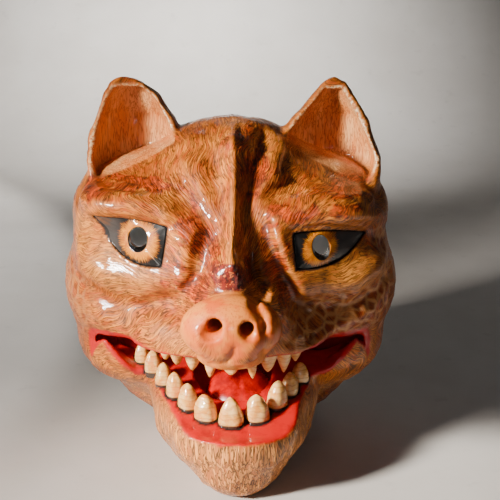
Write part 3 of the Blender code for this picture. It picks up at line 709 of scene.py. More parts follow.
# Painted zones: places across and up as shares, radii in the same shares, and strength
Zone = namedtuple("Zone", "middle radii strength")
TINTS = rows_of(Zone, [
    ((-0.21, 0.749), (0.1, 0.036), 0.95),
    ((-0.138, 0.7), (0.09, 0.05), 1.0),
    ((-0.278, 0.675), (0.07, 0.03), 0.75),
    ((-0.208, 0.614), (0.14, 0.034), 0.95),
    ((-0.122, 0.582), (0.07, 0.03), 0.8),
    ((-0.357, 0.557), (0.12, 0.04), 0.55),
    ((-0.44, 0.859), (0.24, 0.014), 0.85),
    ((-0.693, 0.837), (0.13, 0.02), 0.65),
    ((-0.184, 0.82), (0.05, 0.034), 0.8),
    ((-0.5, 0.81), (0.18, 0.02), 0.5),
    ((0.342, 0.795), (0.17, 0.03), 0.85),
    ((0.203, 0.749), (0.06, 0.05), 0.75),
    ((0.258, 0.668), (0.075, 0.06), 0.95),
    ((0.343, 0.591), (0.075, 0.05), 0.95),
    ((0.404, 0.508), (0.05, 0.032), 0.85),
    ((0.593, 0.799), (0.15, 0.024), 0.75),
    ((0.682, 0.844), (0.16, 0.018), 0.9),
    ((0.16, 0.9), (0.09, 0.07), 0.8),
    ((0.06, 0.975), (0.14, 0.03), 0.65),
    ((-0.929, 0.6), (0.08, 0.08), 0.6),
    ((-0.882, 0.495), (0.11, 0.045), 0.55),
    ((-0.756, 0.452), (0.1, 0.03), 0.5),
    ((-0.78, 0.845), (0.06, 0.03), 0.8),
    ((0.83, 0.69), (0.08, 0.05), 0.6),
    ((0.7, 0.45), (0.2, 0.05), 0.55),
])
PALES = rows_of(Zone, [
    ((-0.66, 0.63), (0.22, 0.07), 1.0),
    ((-0.84, 0.7), (0.08, 0.06), 0.8),
    ((0.68, 0.612), (0.23, 0.06), 1.0),
    ((-0.3, 0.47), (0.26, 0.03), 0.6),
])
NETS = rows_of(Zone, [
    ((0.64, 0.48), (0.33, 0.085), 1.0),
    ((0.88, 0.56), (0.11, 0.11), 1.0),
    ((0.905, 0.66), (0.07, 0.09), 0.9),
    ((-0.93, 0.48), (0.12, 0.12), 0.5),
])
NOSE_PATCH = Zone((0.015, 0.662), (0.105, 0.04), 1.0)
ZONE_FULL = 1.35
ZONE_FALL = 0.85
ZONE_BACK = (0.035, 0.05)
ZONE_CELLS = (0.006, 0.0022)
ZONE_FINE_SHARE = 0.6
FUR_CENTRE = (0.002, 0.124)
FUR_FRONT = 0.08
FUR_BENDS = ((0.022, 71, 0.1), (0.009, 72, 0.04))
LEVEL_START = 0.03
# The edges of painted regions: how far outside its shape a region ends, and how soft that edge is
SNOUT_EDGE = (0.0012, 0.0016)
RED_EDGE = 0.0011
RED_SOFT = 0.0012
GUM_EDGE = (0.0015, 0.0008)
GUM_REACH = 0.006
CUP_EDGE = (0.0008, 0.0012)
LEAF_EDGE = (0.002, 0.002)
EAR_RIM_EDGE = (0.0019, 0.0012)
LID_EDGE = (0.0007, 0.0008)
# Where regions start or end along an axis, and the length over which they do
RED_CORNER_START = (0.042, 0.014)
RED_CORNER = 0.003
# Painted shade: from this depth back into the mouth the lips' red turns deep red
MOUTH_SHADE_FROM = -0.022
MOUTH_SHADE_STEP = 0.01
MOUTH_SHADE_SPAN = 0.016
EAR_START = (0.168, 0.01)
EAR_CLEAR = (0.001, 0.004)
CHIN_TOP = (0.052, 0.014)
CHIN_BACK = (0.01, 0.02)
CROWN_START = (0.17, 0.02)
RELIEF_BACK = (0.048, 0.006)
RELIEF_FOOT = (0.001, 0.004)


def zone(points, rows, ragged=0.0, seed=5):
    flat = points[:, [0, 2]] / SIZES[[0, 2]]
    total = np.zeros(len(points))
    shift = noise(points, ZONE_CELLS[0], seed) * ragged
    shift += noise(points, ZONE_CELLS[1], seed + 1) * ragged * ZONE_FINE_SHARE
    for row in rows:
        gap = np.hypot(*((flat - row.middle) / row.radii).T)
        total = np.maximum(total, row.strength * ease(ZONE_FULL - gap * ZONE_FALL + shift))
    return total * fall(points[:, 1], *ZONE_BACK)


def near_teeth(points):
    """How far each place lies outside the nearest tooth at the gum, across and back."""
    nearest = np.full(len(points), 1.0)
    for rows, way in ((LOWER_TEETH, 1), (UPPER_TEETH, -1)):
        for row in rows:
            x = points[:, 0] - row.x * HALF_WIDTH
            y = points[:, 1] - row.y * FACE_DEPTH
            along, deep = turned(x, y, -tooth_turn(row))
            wide = row.width * HALF_WIDTH / 2
            thick = row.thick * HALF_WIDTH / 2
            gap = (np.hypot(along / wide, deep / thick) - 1) * min(wide, thick)
            gap = np.where(np.abs(points[:, 2] - gum(row, way)) < GUM_REACH, gap, 1.0)
            nearest = np.minimum(nearest, gap)
    return nearest


def smooth_below(values, edge, width):
    """1 where a value lies under the edge, falling to 0 over the width."""
    return ease((edge + width / 2 - values) / width)


def zones(points):
    """The painted regions of the skin, each from 0 to 1."""
    found = {}
    red_gap = np.minimum(np.abs(mouth(points)), np.abs(pocket(points)))
    inner = ellipsoid(points, SNOUT_PAD)
    lip = ellipsoid(points, SNOUT_LIP)
    wobble = noise(points, 0.004, 31) * 0.0005
    snout = smooth_below(np.minimum(inner, lip) + wobble, *SNOUT_EDGE)
    corner = RED_CORNER * rise(np.abs(points[:, 0]), *RED_CORNER_START)
    red = smooth_below(red_gap + wobble, RED_EDGE + corner, RED_SOFT) * (1 - snout)
    found["snout"] = snout
    found["red"] = red
    # Painted shade: deep red further back in the mouth
    found["dark"] = rise(points[:, 1] - MOUTH_SHADE_FROM, MOUTH_SHADE_STEP, MOUTH_SHADE_SPAN) * red
    gums = near_teeth(points) + noise(points, 0.0016, 9) * 0.0006
    found["gum"] = smooth_below(gums, *GUM_EDGE) * red
    left, right = [ear(points, rows, side) for rows, side in EARS]
    leaf, scoop = np.minimum(left[0], right[0]), np.minimum(left[1], right[1])
    high = rise(points[:, 2], *EAR_START)
    found["ear"] = smooth_below(scoop, *CUP_EDGE) * high * smooth_below(leaf, *LEAF_EDGE)
    rim = np.maximum(np.abs(scoop), np.abs(leaf)) + noise(points, 0.003, 3) * 0.0006
    found["rim"] = smooth_below(rim, *EAR_RIM_EDGE) * high * rise(head(points), *EAR_CLEAR)
    bare = (1 - snout) * (1 - red)
    found["patch"] = zone(points, [NOSE_PATCH], 0.25) * bare
    found["tint"] = zone(points, TINTS, 0.55) * bare
    found["pale"] = zone(points, PALES, 0.15) * bare
    found["net"] = zone(points, NETS, 0.2) * bare * (1 - 0.8 * found["pale"])
    found["chin"] = fall(points[:, 2], *CHIN_TOP) * fall(points[:, 1], *CHIN_BACK) * bare
    lid = np.minimum(*[np.abs(socket_gap(points, eye)) for eye in EYES])
    found["lid"] = smooth_below(lid, *LID_EDGE)
    return found


def fur_places(points):
    """Where each place lies in the fur's own coordinates: round the nose, and away from it."""
    x = points[:, 0] - FUR_CENTRE[0]
    z = points[:, 2] - FUR_CENTRE[1]
    bend = sum(noise(points, cell, seed) * most for cell, seed, most in FUR_BENDS)
    turn = np.arctan2(x, z) + bend
    reach = np.sqrt(x**2 + z**2 + (points[:, 1] + FUR_FRONT) ** 2)
    level = np.log2(np.maximum(np.hypot(x, z), LEVEL_START) / LEVEL_START)
    return turn, reach, level


# Lumps carved into the skin: height and the noise's cell in metres, its seed, and the region that has it.
Lump = namedtuple("Lump", "height cell seed region")
LUMPS = [
    Lump(0.00045, 0.0045, 50, "patches"),
    Lump(0.00045, (0.0024, 0.003, 0.01), 60, "chin"),
    Lump(0.0015, (0.009, 0.011, 0.013), 61, "chin"),
    Lump(0.00022, (0.0022, 0.0026, 0.014), 65, "ear"),
    Lump(0.00025, 0.006, 66, "lips"),
    Lump(0.0005, 0.016, 67, "fur"),
    Lump(0.0009, 0.01, 68, "ears_and_crown"),
]
HAIR_HEIGHT = 0.00042
HAIR_TURNS = 13
HAIR_LENGTH = 0.011
NET_HEIGHT = 0.0009
NET_CELL = (0.0085, 0.011, 0.01)
NET_EDGE = 0.45


def relief(points, found):
    """How far the carved hair, net and lumps raise the skin, in metres."""
    turn, reach, level = fur_places(points)
    clumps = np.zeros(len(points))
    for step in range(3):
        weight = np.maximum(0.0, 1 - np.abs(level - step))
        places = np.stack([turn * HAIR_TURNS * 2**step, reach / HAIR_LENGTH, turn * 0], axis=1)
        clumps += weight * noise(places, 1.0, 40 + step)
    bare = (1 - found["snout"]) * (1 - found["red"]) * (1 - found["lid"])
    fur = bare * (1 - 0.85 * found["ear"]) * (1 - 0.7 * found["pale"]) * (1 - found["chin"])
    regions = dict(
        found,
        fur=fur,
        patches=found["tint"] * fur,
        lips=found["red"] * (1 - found["gum"]),
        ears_and_crown=rise(points[:, 2], *CROWN_START),
    )
    total = HAIR_HEIGHT * clumps * fur
    for lump in LUMPS:
        total += lump.height * noise(points, lump.cell, lump.seed) * regions[lump.region]
    edges = cell_edges(points, NET_CELL, 80)
    total += found["net"] * NET_HEIGHT * (0.5 - ease(edges / NET_EDGE))
    return total * (fall(points[:, 1], *RELIEF_BACK) * rise(points[:, 2], *RELIEF_FOOT))


# Teeth
def tooth_turn(row):
    return math.atan2(row.x * HALF_WIDTH - TONGUE_MIDDLE[0], -(row.y * FACE_DEPTH - TONGUE_MIDDLE[1]))


def gum(row, way):
    back = row.y * FACE_DEPTH
    return float(lip_low(back)) if way > 0 else float(lip_high(back))


def tooth_mesh(row, way, seed):
    """A blunt tooth: a rounded square below that closes over a low crown."""
    turn = tooth_turn(row)
    base = gum(row, way)
    height = row.height * HALF_WIDTH
    wide = row.width * HALF_WIDTH / 2 * TOOTH_FLARE
    thick = row.thick * HALF_WIDTH / 2 * TOOTH_FLARE
    rounded = 0.35 + 0.45 * row.point
    lean = (float(hashed(np.array([[seed, 1, 2]]), 7)[0]) - 0.5) * TOOTH_LEAN
    points = []
    shares = []
    for k in range(TOOTH_RINGS + 1):
        up = k / TOOTH_RINGS
        belly = TOOTH_NECK + (1 - TOOTH_NECK) * math.sin(min(1.0, up / TOOTH_BELLY_TOP) * math.pi / 2)
        close = max(0.0, (up - TOOTH_CLOSE_FROM) / (1 - TOOTH_CLOSE_FROM))
        narrow = (1 - close ** (2.0 + 2.2 * rounded)) ** (0.5 + 0.28 * (1 - rounded))
        spread = belly * (1 - (1 - row.point) * TOOTH_TAPER * close**1.4) * narrow
        for j in range(TOOTH_ROUND):
            angle = 2 * math.pi * j / TOOTH_ROUND
            c, s = math.cos(angle), math.sin(angle)
            squared = (abs(c) ** TOOTH_SQUARE + abs(s) ** TOOTH_SQUARE) ** (-1 / TOOTH_SQUARE)
            across = c * squared * wide * spread + lean * height * up**2
            deep = s * squared * thick * spread
            lift = (up * (height + TOOTH_ROOT) - TOOTH_ROOT) * way
            x, y = turned(across, deep, turn)
            points.append((row.x * HALF_WIDTH + x, row.y * FACE_DEPTH + y, base + lift))
            shares.append((up, angle / math.pi, seed))
    points = np.array(points)
    for axis in (0, 1):
        points[:, axis] += noise(points, 0.004, seed + 50 * axis) * TOOTH_WOBBLE
    faces = ring_faces(TOOTH_RINGS, TOOTH_ROUND)
    faces.append(tuple(range(TOOTH_ROUND))[::-1])
    return points, faces, np.array(shares)


# Making objects
def ring_faces(rings, count):
    """Faces between rings of points that follow each other."""
    faces = []
    for low in range(0, rings * count, count):
        for j in range(count):
            after = (j + 1) % count
            faces.append((low + j, low + after, low + count + after, low + count + j))
    return faces


def add_piece(name, points, faces, paint, attributes=(), normals=None):
    mesh = bpy.data.meshes.new(name)
    mesh.from_pydata(np.asarray(points).tolist(), [], [tuple(map(int, f)) for f in faces])
    for key, values in dict(attributes).items():
        kind, field = ("FLOAT", "value") if np.ndim(values) == 1 else ("FLOAT_VECTOR", "vector")
        made = mesh.attributes.new(key, kind, "POINT")
        made.data.foreach_set(field, np.asarray(values, np.float32).ravel())
    mesh.materials.append(paint)
    mesh.shade_smooth()
    if normals is not None:
        mesh.normals_split_custom_set_from_vertices(np.asarray(normals).tolist())
    item = bpy.data.objects.new(name, mesh)
    bpy.context.scene.collection.objects.link(item)
    return item


def face_normals_out(item):
    shaped = bmesh.new()
    shaped.from_mesh(item.data)
    bmesh.ops.recalc_face_normals(shaped, faces=shaped.faces)
    shaped.to_mesh(item.data)
    shaped.free()
    item.data.shade_smooth()


def vertex_normals(points, faces):
    corners = points[faces]
    across = np.cross(corners[:, 2] - corners[:, 0], corners[:, 3] - corners[:, 1])
    total = np.zeros_like(points)
    for k in range(4):
        np.add.at(total, faces[:, k], across)
    return total / np.maximum(np.linalg.norm(total, axis=1), 1e-12)[:, None]


def part_of(points, faces, chosen, values):
    used, index = np.unique(faces[chosen], return_inverse=True)
    return used, points[used], index.reshape(-1, 4), {k: v[used] for k, v in values.items()}


def build_skin(paint, inner_paint):
    low = (-1.13 * HALF_WIDTH, -1.16 * FACE_DEPTH, -2 * WALL)
    high = (1.13 * HALF_WIDTH, RIM_BACK + WALL, 1.17 * CROWN_HEIGHT)
    points, faces = meshed(whole, low, high, FINE_STEP)
    points = settled(whole, points, 2, FINE_STEP * 0.7)
    out = slope(whole, points)
    out /= np.maximum(np.linalg.norm(out, axis=1), 1e-9)[:, None]
    room = hollow(points)
    found = zones(points)
    away = ease((room - 0.002) / 0.004)
    points = points + out * (relief(points, found) * away)[:, None]
    normals = vertex_normals(points, faces)
    turn, reach, level = fur_places(points)
    values = {
        "fur": np.stack([turn, reach, level], axis=1),
        "zone_a": np.stack([found["tint"], found["pale"], found["snout"]], axis=1),
        "zone_b": np.stack([found["patch"], found["red"], found["dark"]], axis=1),
        "zone_c": np.stack([found["gum"], found["ear"], found["rim"]], axis=1),
        "zone_d": np.stack([found["net"], found["chin"], found["lid"]], axis=1),
    }
    inside = (np.abs(room) < 0.0009)[faces].all(axis=1)
    made = []
    for name, chosen, coat in (("mask_skin", ~inside, paint), ("mask_hollow", inside, inner_paint)):
        used, some, rings, kept = part_of(points, faces, chosen, values)
        made.append(add_piece(name, some, rings, coat, kept, normals[used]))
    return made


def build_eye(eye, paint):
    """A domed inlay from its outline to the pupil's edge, with the pupil's wall behind."""
    middle = np.array(eye.pupil.middle) * SIZES[[0, 2]]
    even = np.linspace(-math.pi, math.pi, EYE_ROUND, endpoint=False)
    corner = eye.outline - middle
    angle = np.sort(np.concatenate([even, np.arctan2(corner[:, 1], corner[:, 0])]))
    count = len(angle)
    way = np.stack([np.cos(angle), np.sin(angle)], axis=1)
    reach = np.full(count, 0.0)
    for _ in range(400):
        longer = reach + EYE_EDGE_STEP
        within = polygon_gap(middle + way * longer[:, None], eye.outline) < -EYE_EDGE_GAP
        reach = np.where(within, longer, reach)
    edge = middle + way * reach[:, None]
    hole = middle + way / pupil_reach(way, eye.pupil)[:, None]
    rows, wall = [], []
    plane_back = on_plane(eye.plane, *middle) + EYE_THICK
    shares = [-1.0] + [k / EYE_RINGS for k in range(EYE_RINGS + 1)] + WALL_STEPS
    for share in shares:
        held = min(max(share, 0.0), 1.0)
        flat = edge + (hole - edge) * held
        front = front_of(flat[:, 0], flat[:, 1], skin) + EYE_RECESS
        back = front - EYE_BULGE * EYE_DOME * math.sin(held * math.pi / 2)
        if share < 0:
            back = front + EYE_SKIRT
        if share > 1.0:
            back = np.full(count, plane_back) if share > WALL_STEPS[0] else back + EYE_LIP
            flat = middle + (hole - middle) * PUPIL_WALL_SHARE
        rows.append(np.stack([flat[:, 0], back, flat[:, 1]], axis=1))
        wall.append(np.full(count, 1.0 if share > 1.0 else 0.0))
    points = np.concatenate(rows)
    faces = ring_faces(len(rows) - 1, count)
    iris = (points[:, [0, 2]] - np.array(eye.iris) * SIZES[[0, 2]]) / (eye.iris_radius * HALF_WIDTH)
    outwards = np.full(len(points), -1.0 if eye.name == "left" else 1.0)
    rim = -polygon_gap(points[:, [0, 2]], eye.outline)
    pupil = pupil_gap(points, eye.pupil)
    values = {
        "iris": np.stack([iris[:, 0] * outwards, iris[:, 1], rim * 1000], axis=1),
        "pupil": np.stack([pupil * 1000, np.concatenate(wall), outwards], axis=1),
    }
    return add_piece("eye_inlay_" + eye.name, points, faces, paint, values)


def build_tongue(paint):
    rows, marks = [], []
    for k in range(TONGUE_RINGS + 1):
        share = k / TONGUE_RINGS
        spread = math.cos(share * math.pi / 2) ** 0.55 if share < 1 else 0.0
        for j in range(TONGUE_ROUND):
            angle = 2 * math.pi * j / TONGUE_ROUND
            c, s = math.cos(angle), math.sin(angle)
            x = TONGUE_MIDDLE[0] + c * TONGUE_HALF_WIDTH * spread * 1.01
            y = TONGUE_MIDDLE[1] + s * TONGUE_HALF_LENGTH * spread * 1.01
            floor = float(lip_low(y)) - POCKET_DEPTH - TONGUE_SEAT
            up = TONGUE_HEIGHT * (share ** 0.75)
            rows.append((x, y, floor + up))
            marks.append(share)
    points = np.array(rows)
    marks = np.array(marks)
    x = (points[:, 0] - TONGUE_MIDDLE[0]) / TONGUE_HALF_WIDTH
    y = (points[:, 1] - TONGUE_MIDDLE[1]) / TONGUE_HALF_LENGTH
    top = ease((marks - 0.35) / 0.3)
    groove = np.exp(-((x / 0.1) ** 2)) * TONGUE_GROOVE
    ripple = np.sin(y * 9.0 + 1.2 * np.cos(x * 2.2)) * TONGUE_RIPPLE
    points[:, 2] += top * (ripple - groove + TONGUE_LUMPS * noise(points, 0.004, 91))
    faces = ring_faces(TONGUE_RINGS, TONGUE_ROUND)
    item = add_piece("tongue_top", points, faces, paint, {"rise": marks})
    face_normals_out(item)
    return item


# Materials
def paint(code):
    """A colour given as hex, as the shader wants it."""
    parts = [int(code[k : k + 2], 16) / 255 for k in (1, 3, 5)]
    return tuple(c / 12.92 if c <= 0.04045 else ((c + 0.055) / 1.055) ** 2.4 for c in parts) + (1.0,)


class Graph:
    """Short calls that add shader nodes and link them."""

    def __init__(self, name):
        self.material = bpy.data.materials.new(name)
        self.material.use_nodes = True
        self.tree = self.material.node_tree
        self.shader = self.tree.nodes["Principled BSDF"]

    def put(self, socket, value):
        if isinstance(value, bpy.types.NodeSocket):
            self.tree.links.new(value, socket)
        else:
            socket.default_value = value

    def fill(self, node, values):
        for key, value in values.items():
            self.put(node.inputs[key.replace("_", " ")], value)
        return node

    def add(self, kind, **values):
        return self.fill(self.tree.nodes.new("ShaderNode" + kind), values)

    def shade(self, **values):
        self.fill(self.shader, values)
        return self.material

    def math(self, kind, first, second=0.0, clamp=False):
        node = self.add("Math")
        node.operation = kind
        node.use_clamp = clamp
        self.put(node.inputs[0], first)
        self.put(node.inputs[1], second)
        return node.outputs[0]

    def times(self, first, second):
        return self.math("MULTIPLY", first, second)

    def plus(self, first, second):
        return self.math("ADD", first, second)

    def flip(self, value):
        return self.math("SUBTRACT", 1.0, value)

    def apart(self, first, second):
        return self.math("ABSOLUTE", self.math("SUBTRACT", first, second))

    def span(self, value, low, high, out_low=0.0, out_high=1.0):
        ends = {"From_Min": low, "From_Max": high, "To_Min": out_low, "To_Max": out_high}
        node = self.add("MapRange", Value=value, **ends)
        node.interpolation_type = "SMOOTHSTEP"
        return node.outputs[0]

    def mix(self, share, first, second):
        node = self.add("Mix")
        node.data_type = "RGBA"
        node.clamp_factor = True
        self.put(node.inputs[0], share)
        for socket, colour in ((node.inputs[6], first), (node.inputs[7], second)):
            self.put(socket, paint(colour) if isinstance(colour, str) else colour)
        return node.outputs[2]

    def coat(self, colour, layer, most, value, low, high):
        """A layer over a colour, from none at the low value to its most at the high one."""
        return self.mix(self.times(self.span(value, low, high), most), colour, layer)

    def cloud(self, vector, scale, low, high, first, second, rough=0.5, warp=0.0):
        """The first colour that turns into the second where a noise rises from low to high."""
        return self.mix(self.span(self.noise(vector, scale, 3.0, rough, warp), low, high), first, second)

    def attribute(self, name):
        """The three values of a vector attribute."""
        source = self.add("Attribute")
        source.attribute_name = name
        return self.add("SeparateXYZ", Vector=source.outputs["Vector"]).outputs

    def join(self, x, y, z=0.0):
        return self.add("CombineXYZ", X=x, Y=y, Z=z).outputs[0]

    def place(self):
        return self.add("TexCoord").outputs["Object"]

    def stretch(self, vector, scale):
        return self.add("Mapping", Vector=vector, Scale=scale).outputs[0]

    def noise(self, vector, scale=1.0, detail=2.0, rough=0.5, warp=0.0):
        sizes = {"Scale": scale, "Detail": detail, "Roughness": rough, "Distortion": warp}
        return self.add("TexNoise", Vector=vector, **sizes).outputs["Fac"]

    def cells(self, vector, scale, feature="DISTANCE_TO_EDGE"):
        node = self.add("TexVoronoi", Vector=vector, Scale=scale)
        node.feature = feature
        return node.outputs["Distance"]

    def bump(self, height, distance, strength=1.0, under=None):
        node = self.add("Bump", Height=height, Distance=distance, Strength=strength)
        if under is not None:
            self.put(node.inputs["Normal"], under)
        return node.outputs[0]


FUR_LIGHT = "#DC8028"
FUR_MID = "#B05810"
FUR_ORANGE = "#CC4602"
FUR_RED = "#7E2604"
FUR_DARK = "#4E1C08"
HAIR_LINE = "#200C02"
PALE_SKIN = "#D28636"
SNOUT_SKIN = "#CC7428"
PATCH_RED = "#7A1C08"
LIP_RED = "#B40000"
# Painted shade colour for the back of the mouth
MOUTH_SHADE_RED = "#7A0202"
GUM_BLACK = "#1A1412"
EAR_SKIN = "#D8803C"
RIM_PALE = "#EBCB98"
NET_PALE = "#C88A50"
CHIN_PALE = "#E8A058"
EAR_PALE = "#E8A868"
PATCH_DARK = "#3A120A"
PATCH_ORANGE = "#D86A2A"
SNOUT_ORANGE = "#C0500C"
SNOUT_LINE = "#9A4410"
LIP_DEEP = "#980200"


def thin_lines(g, value, width=0.07):
    """Narrow lines where a noise passes its middle."""
    return g.span(g.apart(value, 0.5), 0.2 * width, width, 1.0, 0.0)


# How often the fur's noises repeat round the nose and away from it
HAIR_ROUND = 30.0
HAIR_AWAY = 100.0
LOCK_ROUND = 10.0
LOCK_AWAY = 80.0


def fur_strands(g):
    """Hair, its lines and its locks, in three sizes so that they stay close together far from the nose."""
    turn, reach, level = g.attribute("fur")
    totals = [None, None, None]
    for step in range(3):
        share = g.math("SUBTRACT", 1.0, g.apart(level, float(step)), clamp=True)
        places = [
            g.join(g.times(turn, round_nose * 2**step), g.times(reach, away), float(step) * shift)
            for round_nose, away, shift in ((HAIR_ROUND, HAIR_AWAY, 7), (LOCK_ROUND, LOCK_AWAY, 5))
        ]
        hair = g.noise(places[0], 1.0, 2.0, 0.55)
        lock = g.noise(places[1], 1.0, 3.0, 0.65)
        for k, part in enumerate((hair, thin_lines(g, hair), lock)):
            part = g.times(share, part)
            totals[k] = part if totals[k] is None else g.plus(totals[k], part)
    return totals


def skin_paint():
    g = Graph("mask_paint")
    place = g.place()
    tint, pale, snout = g.attribute("zone_a")
    patch, red, dark = g.attribute("zone_b")
    gum_line, ear_in, rim = g.attribute("zone_c")
    net, chin, lid = g.attribute("zone_d")
    broad = g.noise(place, 38.0, 3.0, 0.6)
    middle = g.noise(place, 130.0, 3.0, 0.6)
    mottle = g.noise(place, 300.0, 3.0, 0.7)
    fine = g.noise(place, 620.0, 2.0, 0.5)
    upright = g.noise(g.stretch(place, (700.0, 700.0, 80.0)), 1.0, 2.0, 0.5, 0.4)
    hair, line, lock = fur_strands(g)
    strokes = g.math("MAXIMUM", chin, ear_in)
    hair = g.plus(g.times(hair, g.flip(strokes)), g.times(upright, strokes))
    line = g.plus(g.times(line, g.flip(strokes)), g.times(thin_lines(g, upright), strokes))
    bend = g.tree.nodes.new("ShaderNodeNewGeometry").outputs["Pointiness"]
    # Painted shade: concave places, found by pointiness, are darkened towards FUR_DARK
    crease_shade = g.span(bend, 0.494, 0.455)
    # Painted highlight with wear: convex ridges, found by pointiness, are lightened towards FUR_LIGHT
    ridge_highlight_and_wear = g.span(bend, 0.512, 0.55)

    fur = g.mix(g.span(broad, 0.38, 0.62), FUR_LIGHT, FUR_MID)
    fur = g.coat(fur, FUR_ORANGE, 0.6, lock, 0.48, 0.66)
    fur = g.mix(g.times(chin, 0.6), fur, CHIN_PALE)
    fur = g.mix(g.times(pale, 0.8), fur, PALE_SKIN)
    patchy = g.plus(g.times(tint, 0.62), g.plus(g.times(lock, 0.4), g.times(mottle, 0.28)))
    mottled = g.mix(g.span(lock, 0.42, 0.56), FUR_RED, FUR_ORANGE)
    mottled = g.coat(mottled, FUR_LIGHT, 0.75, lock, 0.57, 0.68)
    mottled = g.coat(mottled, FUR_DARK, 0.8, mottle, 0.5, 0.62)
    fur = g.coat(fur, mottled, 0.9, patchy, 0.58, 0.8)
    fur = g.coat(fur, FUR_RED, 0.5, hair, 0.5, 0.4)
    fur = g.mix(g.times(line, g.span(tint, 0.0, 1.0, 0.85, 0.9)), fur, HAIR_LINE)
    ridge = g.span(g.cells(place, 115.0), 0.02, 0.2, 1.0, 0.0)
    fur = g.mix(g.times(net, 0.5), fur, FUR_RED)
    fur = g.mix(g.times(g.times(net, ridge), 0.75), fur, NET_PALE)
    # Painted highlight and wear on the ridges
    fur = g.mix(g.times(ridge_highlight_and_wear, 0.35), fur, FUR_LIGHT)
    # Painted shade in the creases
    fur = g.mix(g.times(crease_shade, 0.5), fur, FUR_DARK)
    ear_coat = g.cloud(g.stretch(place, (90.0, 90.0, 30.0)), 1.0, 0.35, 0.65, EAR_SKIN, EAR_PALE)
    ear_coat = g.mix(g.times(line, 0.55), ear_coat, FUR_RED)
    colour = g.mix(ear_in, fur, ear_coat)
    worn = g.mix(g.span(fine, 0.42, 0.6), RIM_PALE, FUR_MID)
    colour = g.mix(g.times(rim, 0.8), colour, worn)
    nose = g.cloud(place, 420.0, 0.4, 0.62, PATCH_RED, PATCH_DARK, 0.7)
    nose = g.cloud(place, 520.0, 0.56, 0.68, nose, PATCH_ORANGE, 0.7)
    colour = g.mix(g.span(patch, 0.25, 0.65), colour, nose)
    peach = g.cloud(place, 60.0, 0.42, 0.62, SNOUT_SKIN, SNOUT_ORANGE, 0.55, 0.6)
    snout_grain = g.noise(g.stretch(place, (900.0, 900.0, 90.0)), 1.0, 2.0)
    peach = g.coat(peach, SNOUT_LINE, 0.55, snout_grain, 0.54, 0.66)
    colour = g.mix(snout, colour, peach)
    lips = g.cloud(place, 150.0, 0.4, 0.72, LIP_RED, LIP_DEEP, 0.6)
    # Painted shade: the red turns deep red further back into the mouth
    lips = g.mix(dark, lips, MOUTH_SHADE_RED)
    colour = g.mix(red, colour, lips)
    colour = g.mix(gum_line, colour, GUM_BLACK)
    colour = g.mix(lid, colour, GUM_BLACK)
    bare = g.times(g.times(g.flip(snout), g.flip(red)), g.flip(lid))
    grooves = g.bump(hair, 0.0012, g.times(bare, g.span(pale, 0.0, 1.0, 0.75, 0.3)))
    grain = g.bump(fine, 0.00016, 0.35, grooves)
    varnish = g.bump(middle, 0.00035, 0.3)
    return g.shade(
        Base_Color=colour,
        Roughness=g.span(middle, 0.3, 0.7, 0.48, 0.62),
        Normal=grain,
        Specular_IOR_Level=0.25,
        Coat_Weight=0.5,
        Coat_Roughness=0.07,
        Coat_Normal=g.bump(hair, 0.0003, g.times(bare, 0.55), varnish),
    )


def hollow_paint():
    g = Graph("bare_wood")
    place = g.place()
    grain = g.noise(g.stretch(place, (240.0, 60.0, 16.0)), 1.0, 4.0, 0.6, 0.6)
    broad = g.noise(place, 26.0, 3.0)
    facets = g.cells(g.stretch(place, (1.0, 1.0, 0.55)), 95.0, "F1")
    colour = g.mix(g.span(grain, 0.36, 0.66), "#A87A4C", "#7C4F2C")
    colour = g.coat(colour, "#5E3A20", 0.55, broad, 0.42, 0.66)
    return g.shade(
        Base_Color=colour,
        Roughness=g.span(grain, 0.3, 0.7, 0.55, 0.75),
        Normal=g.bump(grain, 0.0003, 0.5, g.bump(facets, 0.0011, 0.55)),
    )


def eye_paint():
    g = Graph("eye_gloss")
    iris = g.attribute("iris")
    pupil = g.attribute("pupil")
    place = g.place()
    angle = g.math("ARCTAN2", iris[1], iris[0])
    radius = g.math("SQRT", g.plus(g.times(iris[0], iris[0]), g.times(iris[1], iris[1])))
    rays = g.noise(g.join(g.times(angle, 17.0), g.times(radius, 2.2)), 1.0, 3.0, 0.6)
    fine_rays = g.noise(g.join(g.times(angle, 48.0), g.times(radius, 3.0), 4.0), 1.0, 2.0, 0.6)
    ragged = g.plus(radius, g.times(g.math("SUBTRACT", rays, 0.5), 0.75))
    amber = g.cloud(place, 150.0, 0.38, 0.66, "#D07800", "#A04C00")
    amber = g.mix(g.span(fine_rays, 0.54, 0.7), amber, "#E8A010")
    amber = g.coat(amber, "#6A3408", 0.7, fine_rays, 0.46, 0.34)
    black = g.mix(g.span(iris[0], 0.55, 1.25), "#0C0907", "#37312E")
    colour = g.mix(g.span(ragged, 0.78, 1.04), amber, black)
    colour = g.mix(g.span(iris[2], 0.75, 0.35), colour, "#120D0A")
    # Painted highlight: a thin lighter ring round the pupil's edge
    colour = g.mix(g.span(pupil[0], 0.52, 0.4), colour, "#B86C08")
    colour = g.mix(g.span(pupil[0], 0.3, 0.1), colour, "#0A0807")
    colour = g.mix(pupil[1], colour, "#0A0807")
    return g.shade(
        Base_Color=colour,
        Roughness=g.span(rays, 0.3, 0.7, 0.45, 0.55),
        Specular_IOR_Level=0.25,
        Normal=g.bump(fine_rays, 0.00012, 0.35),
        Coat_Weight=1.0,
        Coat_Roughness=0.04,
    )


